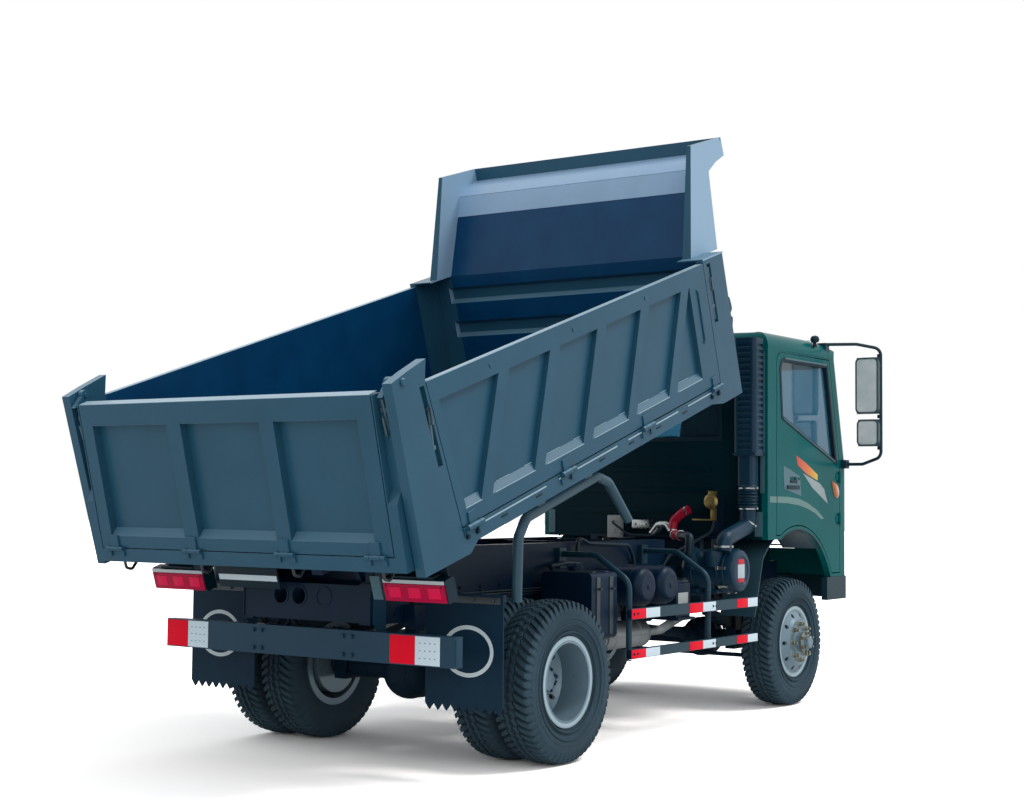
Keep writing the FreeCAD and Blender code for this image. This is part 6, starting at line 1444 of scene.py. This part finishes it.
for side, hand in ((1, "left"), (-1, "right")):
    rods = bmesh.new()
    bent_pipe(rods, [on_gate(0.030, side * rod_out, 0.030), on_gate(0.030, side * rod_out, 0.425)],
              0.009, 0.02, 14)
    for s in (0.080, 0.240, 0.390):
        bar(rods, on_gate(0.034, side * rod_out, s), (0.018, 0.036, 0.022), 0.003, gate_turn)
    bent_pipe(rods, [on_gate(0.030, side * rod_out, 0.200), on_gate(0.006, side * rod_out, 0.196),
                     on_gate(0.006, side * rod_out, 0.110)], 0.0055, 0.012, 10)
    put_on(rods, "gate_locks_" + hand, lock_steel, "gate_frame")
    # A black strip on the stile stands in for the shade inside the lock slot: painted shade.
    slot_shade = bmesh.new()
    bar(slot_shade, on_gate(0.0425, side * 0.9965, 0.222), (0.002, 0.041, 0.430), 0.0006, gate_turn)
    put_on(slot_shade, "gate_slot_shades_" + hand, trim_black, "gate_frame")
    bright = bmesh.new()
    slope = [on_gate(0.043, side * 0.9735, 0.4420), on_gate(0.043, side * 1.0175, 0.4420),
             on_gate(0.0015, side * 1.0175, 0.4990), on_gate(0.0015, side * 0.9735, 0.4990)]
    under = [c - gate_in * 0.0022 for c in slope]
    top_verts = [bright.verts.new(c) for c in under]
    low_verts = [bright.verts.new(c + gate_in * 0.0012 + gate_down * 0.0012) for c in slope]
    bright.faces.new(top_verts)
    bright.faces.new(low_verts[::-1])
    for i in range(4):
        j = (i + 1) % 4
        bright.faces.new((top_verts[i], low_verts[i], low_verts[j], top_verts[j]))
    put_on(bright, "gate_slopes_" + hand, edge_highlight, "gate_frame")
    pin_cap = bmesh.new()
    lathed(pin_cap, on_bed(-0.330, side * 1.0790, 1.036), (0, side, 0),
           [(0, 0.0205), (0.006, 0.020), (0.010, 0.015), (0.011, 0)], 24)
    put_on(pin_cap, "gate_pin_caps_" + hand, slate_paint, "tipper_bed")

# ---------------------------------------------------------------- tail lamps and spare wheel
# Moulded lamp clusters in black housings hang under the tail on brackets, three square zones each
# with a clear strip on top. The spare wheel rides on the front of the body.
lamp_red = finish_coat("lamp_red", (0.56, 0.001, 0.055), 0.18, shade=0.08, gloss=0.12, clear=0.1)
paint_nodes(trim_black, "tail_lamps")
zone_bright = finish_coat("zone_bright", (0.98, 0.004, 0.090), 0.18, shade=0.05, gloss=0.15,
                          clear=0.1)
lamp_mid = 0.7855
lenses, zones, clear_strip, brackets = (bmesh.new() for _ in range(4))
for side in (-1, 1):
    bar(lenses, on_bed(-0.1705, side * lamp_mid, -0.022), (0.006, 0.366, 0.088), 0.0025, bed_turn)
    for v in (0.668, 0.786, 0.904):
        bar(zones, on_bed(-0.1736, side * v, -0.020), (0.003, 0.072, 0.052), 0.0012, bed_turn)
    bar(clear_strip, on_bed(-0.1705, side * lamp_mid, 0.0335), (0.006, 0.366, 0.018), 0.002,
        bed_turn)
    for v in (0.62, 0.95):
        bolt(brackets, on_bed(-0.1735, side * v, 0.012), tuple(-bed_along), 0.007, 0.003)
    bar(brackets, on_bed(-0.130, side * lamp_mid, 0.052), (0.070, 0.24, 0.012), 0.003, bed_turn)
put_on(lenses, "lamp_lenses", lamp_red, "tipper_bed")
put_on(zones, "lamp_zones", zone_bright, "tipper_bed")
put_on(clear_strip, "lamp_clear_strips", marker_lens, "tipper_bed")
put_on(brackets, "lamp_brackets", trim_black, "tipper_bed")
mark_plate = bmesh.new()
bar(mark_plate, on_bed(-0.150, -0.540, -0.012), (0.008, 0.060, 0.120), 0.002, bed_turn)
put_on(mark_plate, "lamp_side_strip", trim_grey, "tipper_bed")
plate_holder, plate_tape = bmesh.new(), bmesh.new()
bar(plate_holder, on_bed(-0.150, 0.300, 0.010), (0.006, 0.42, 0.110), 0.002, bed_turn)
bar(plate_holder, on_bed(-0.132, 0.300, 0.100), (0.006, 0.30, 0.100), 0.002, bed_turn)
bar(plate_tape, on_bed(-0.1538, 0.300, 0.010), (0.0015, 0.40, 0.030), 0.0004, bed_turn)
put_on(plate_holder, "plate_holder", trim_black, "tipper_bed")
put_on(plate_tape, "plate_tape", tape_white, "tipper_bed")
paint_nodes(tyre_rubber, "spare_wheel")
spare_y, spare_up = -0.484, 0.600
spare_rim = bmesh.new()
lathed(spare_rim, on_bed(3.1925, spare_y, spare_up), tuple(bed_along),
       [(0.0, 0.222), (0.006, 0.219), (0.004, 0.206), (-0.030, 0.198), (-0.052, 0.160)], 56)
for i in range(6):
    a = 2 * math.pi * i / 6
    round_hub = bed_turn @ Vector((0, 0.070 * math.cos(a), 0.070 * math.sin(a)))
    lathed(spare_rim, on_bed(3.210, spare_y, spare_up) + round_hub, tuple(bed_along),
           [(0, 0.016), (0.016, 0.015), (0.018, 0.010), (0.018, 0)], 6)
put_on(spare_rim, "spare_rim", rim_silver, "tipper_bed")
tail_latches = bmesh.new()
for v in (-0.857, -0.305, 0.305, 0.857):
    bent_pipe(tail_latches,
              [on_bed(-0.395, v + 0.045, 0.165), on_bed(-0.395, v + 0.045, 0.130),
               on_bed(-0.360, v + 0.045, 0.110), on_bed(-0.300, v + 0.045, 0.150)], 0.008, 0.02, 12)
    bar(tail_latches, on_bed(-0.330, v + 0.045, 0.172), (0.080, 0.036, 0.020), 0.003, bed_turn)
put_on(tail_latches, "tail_latches", strap_steel, "tipper_bed")
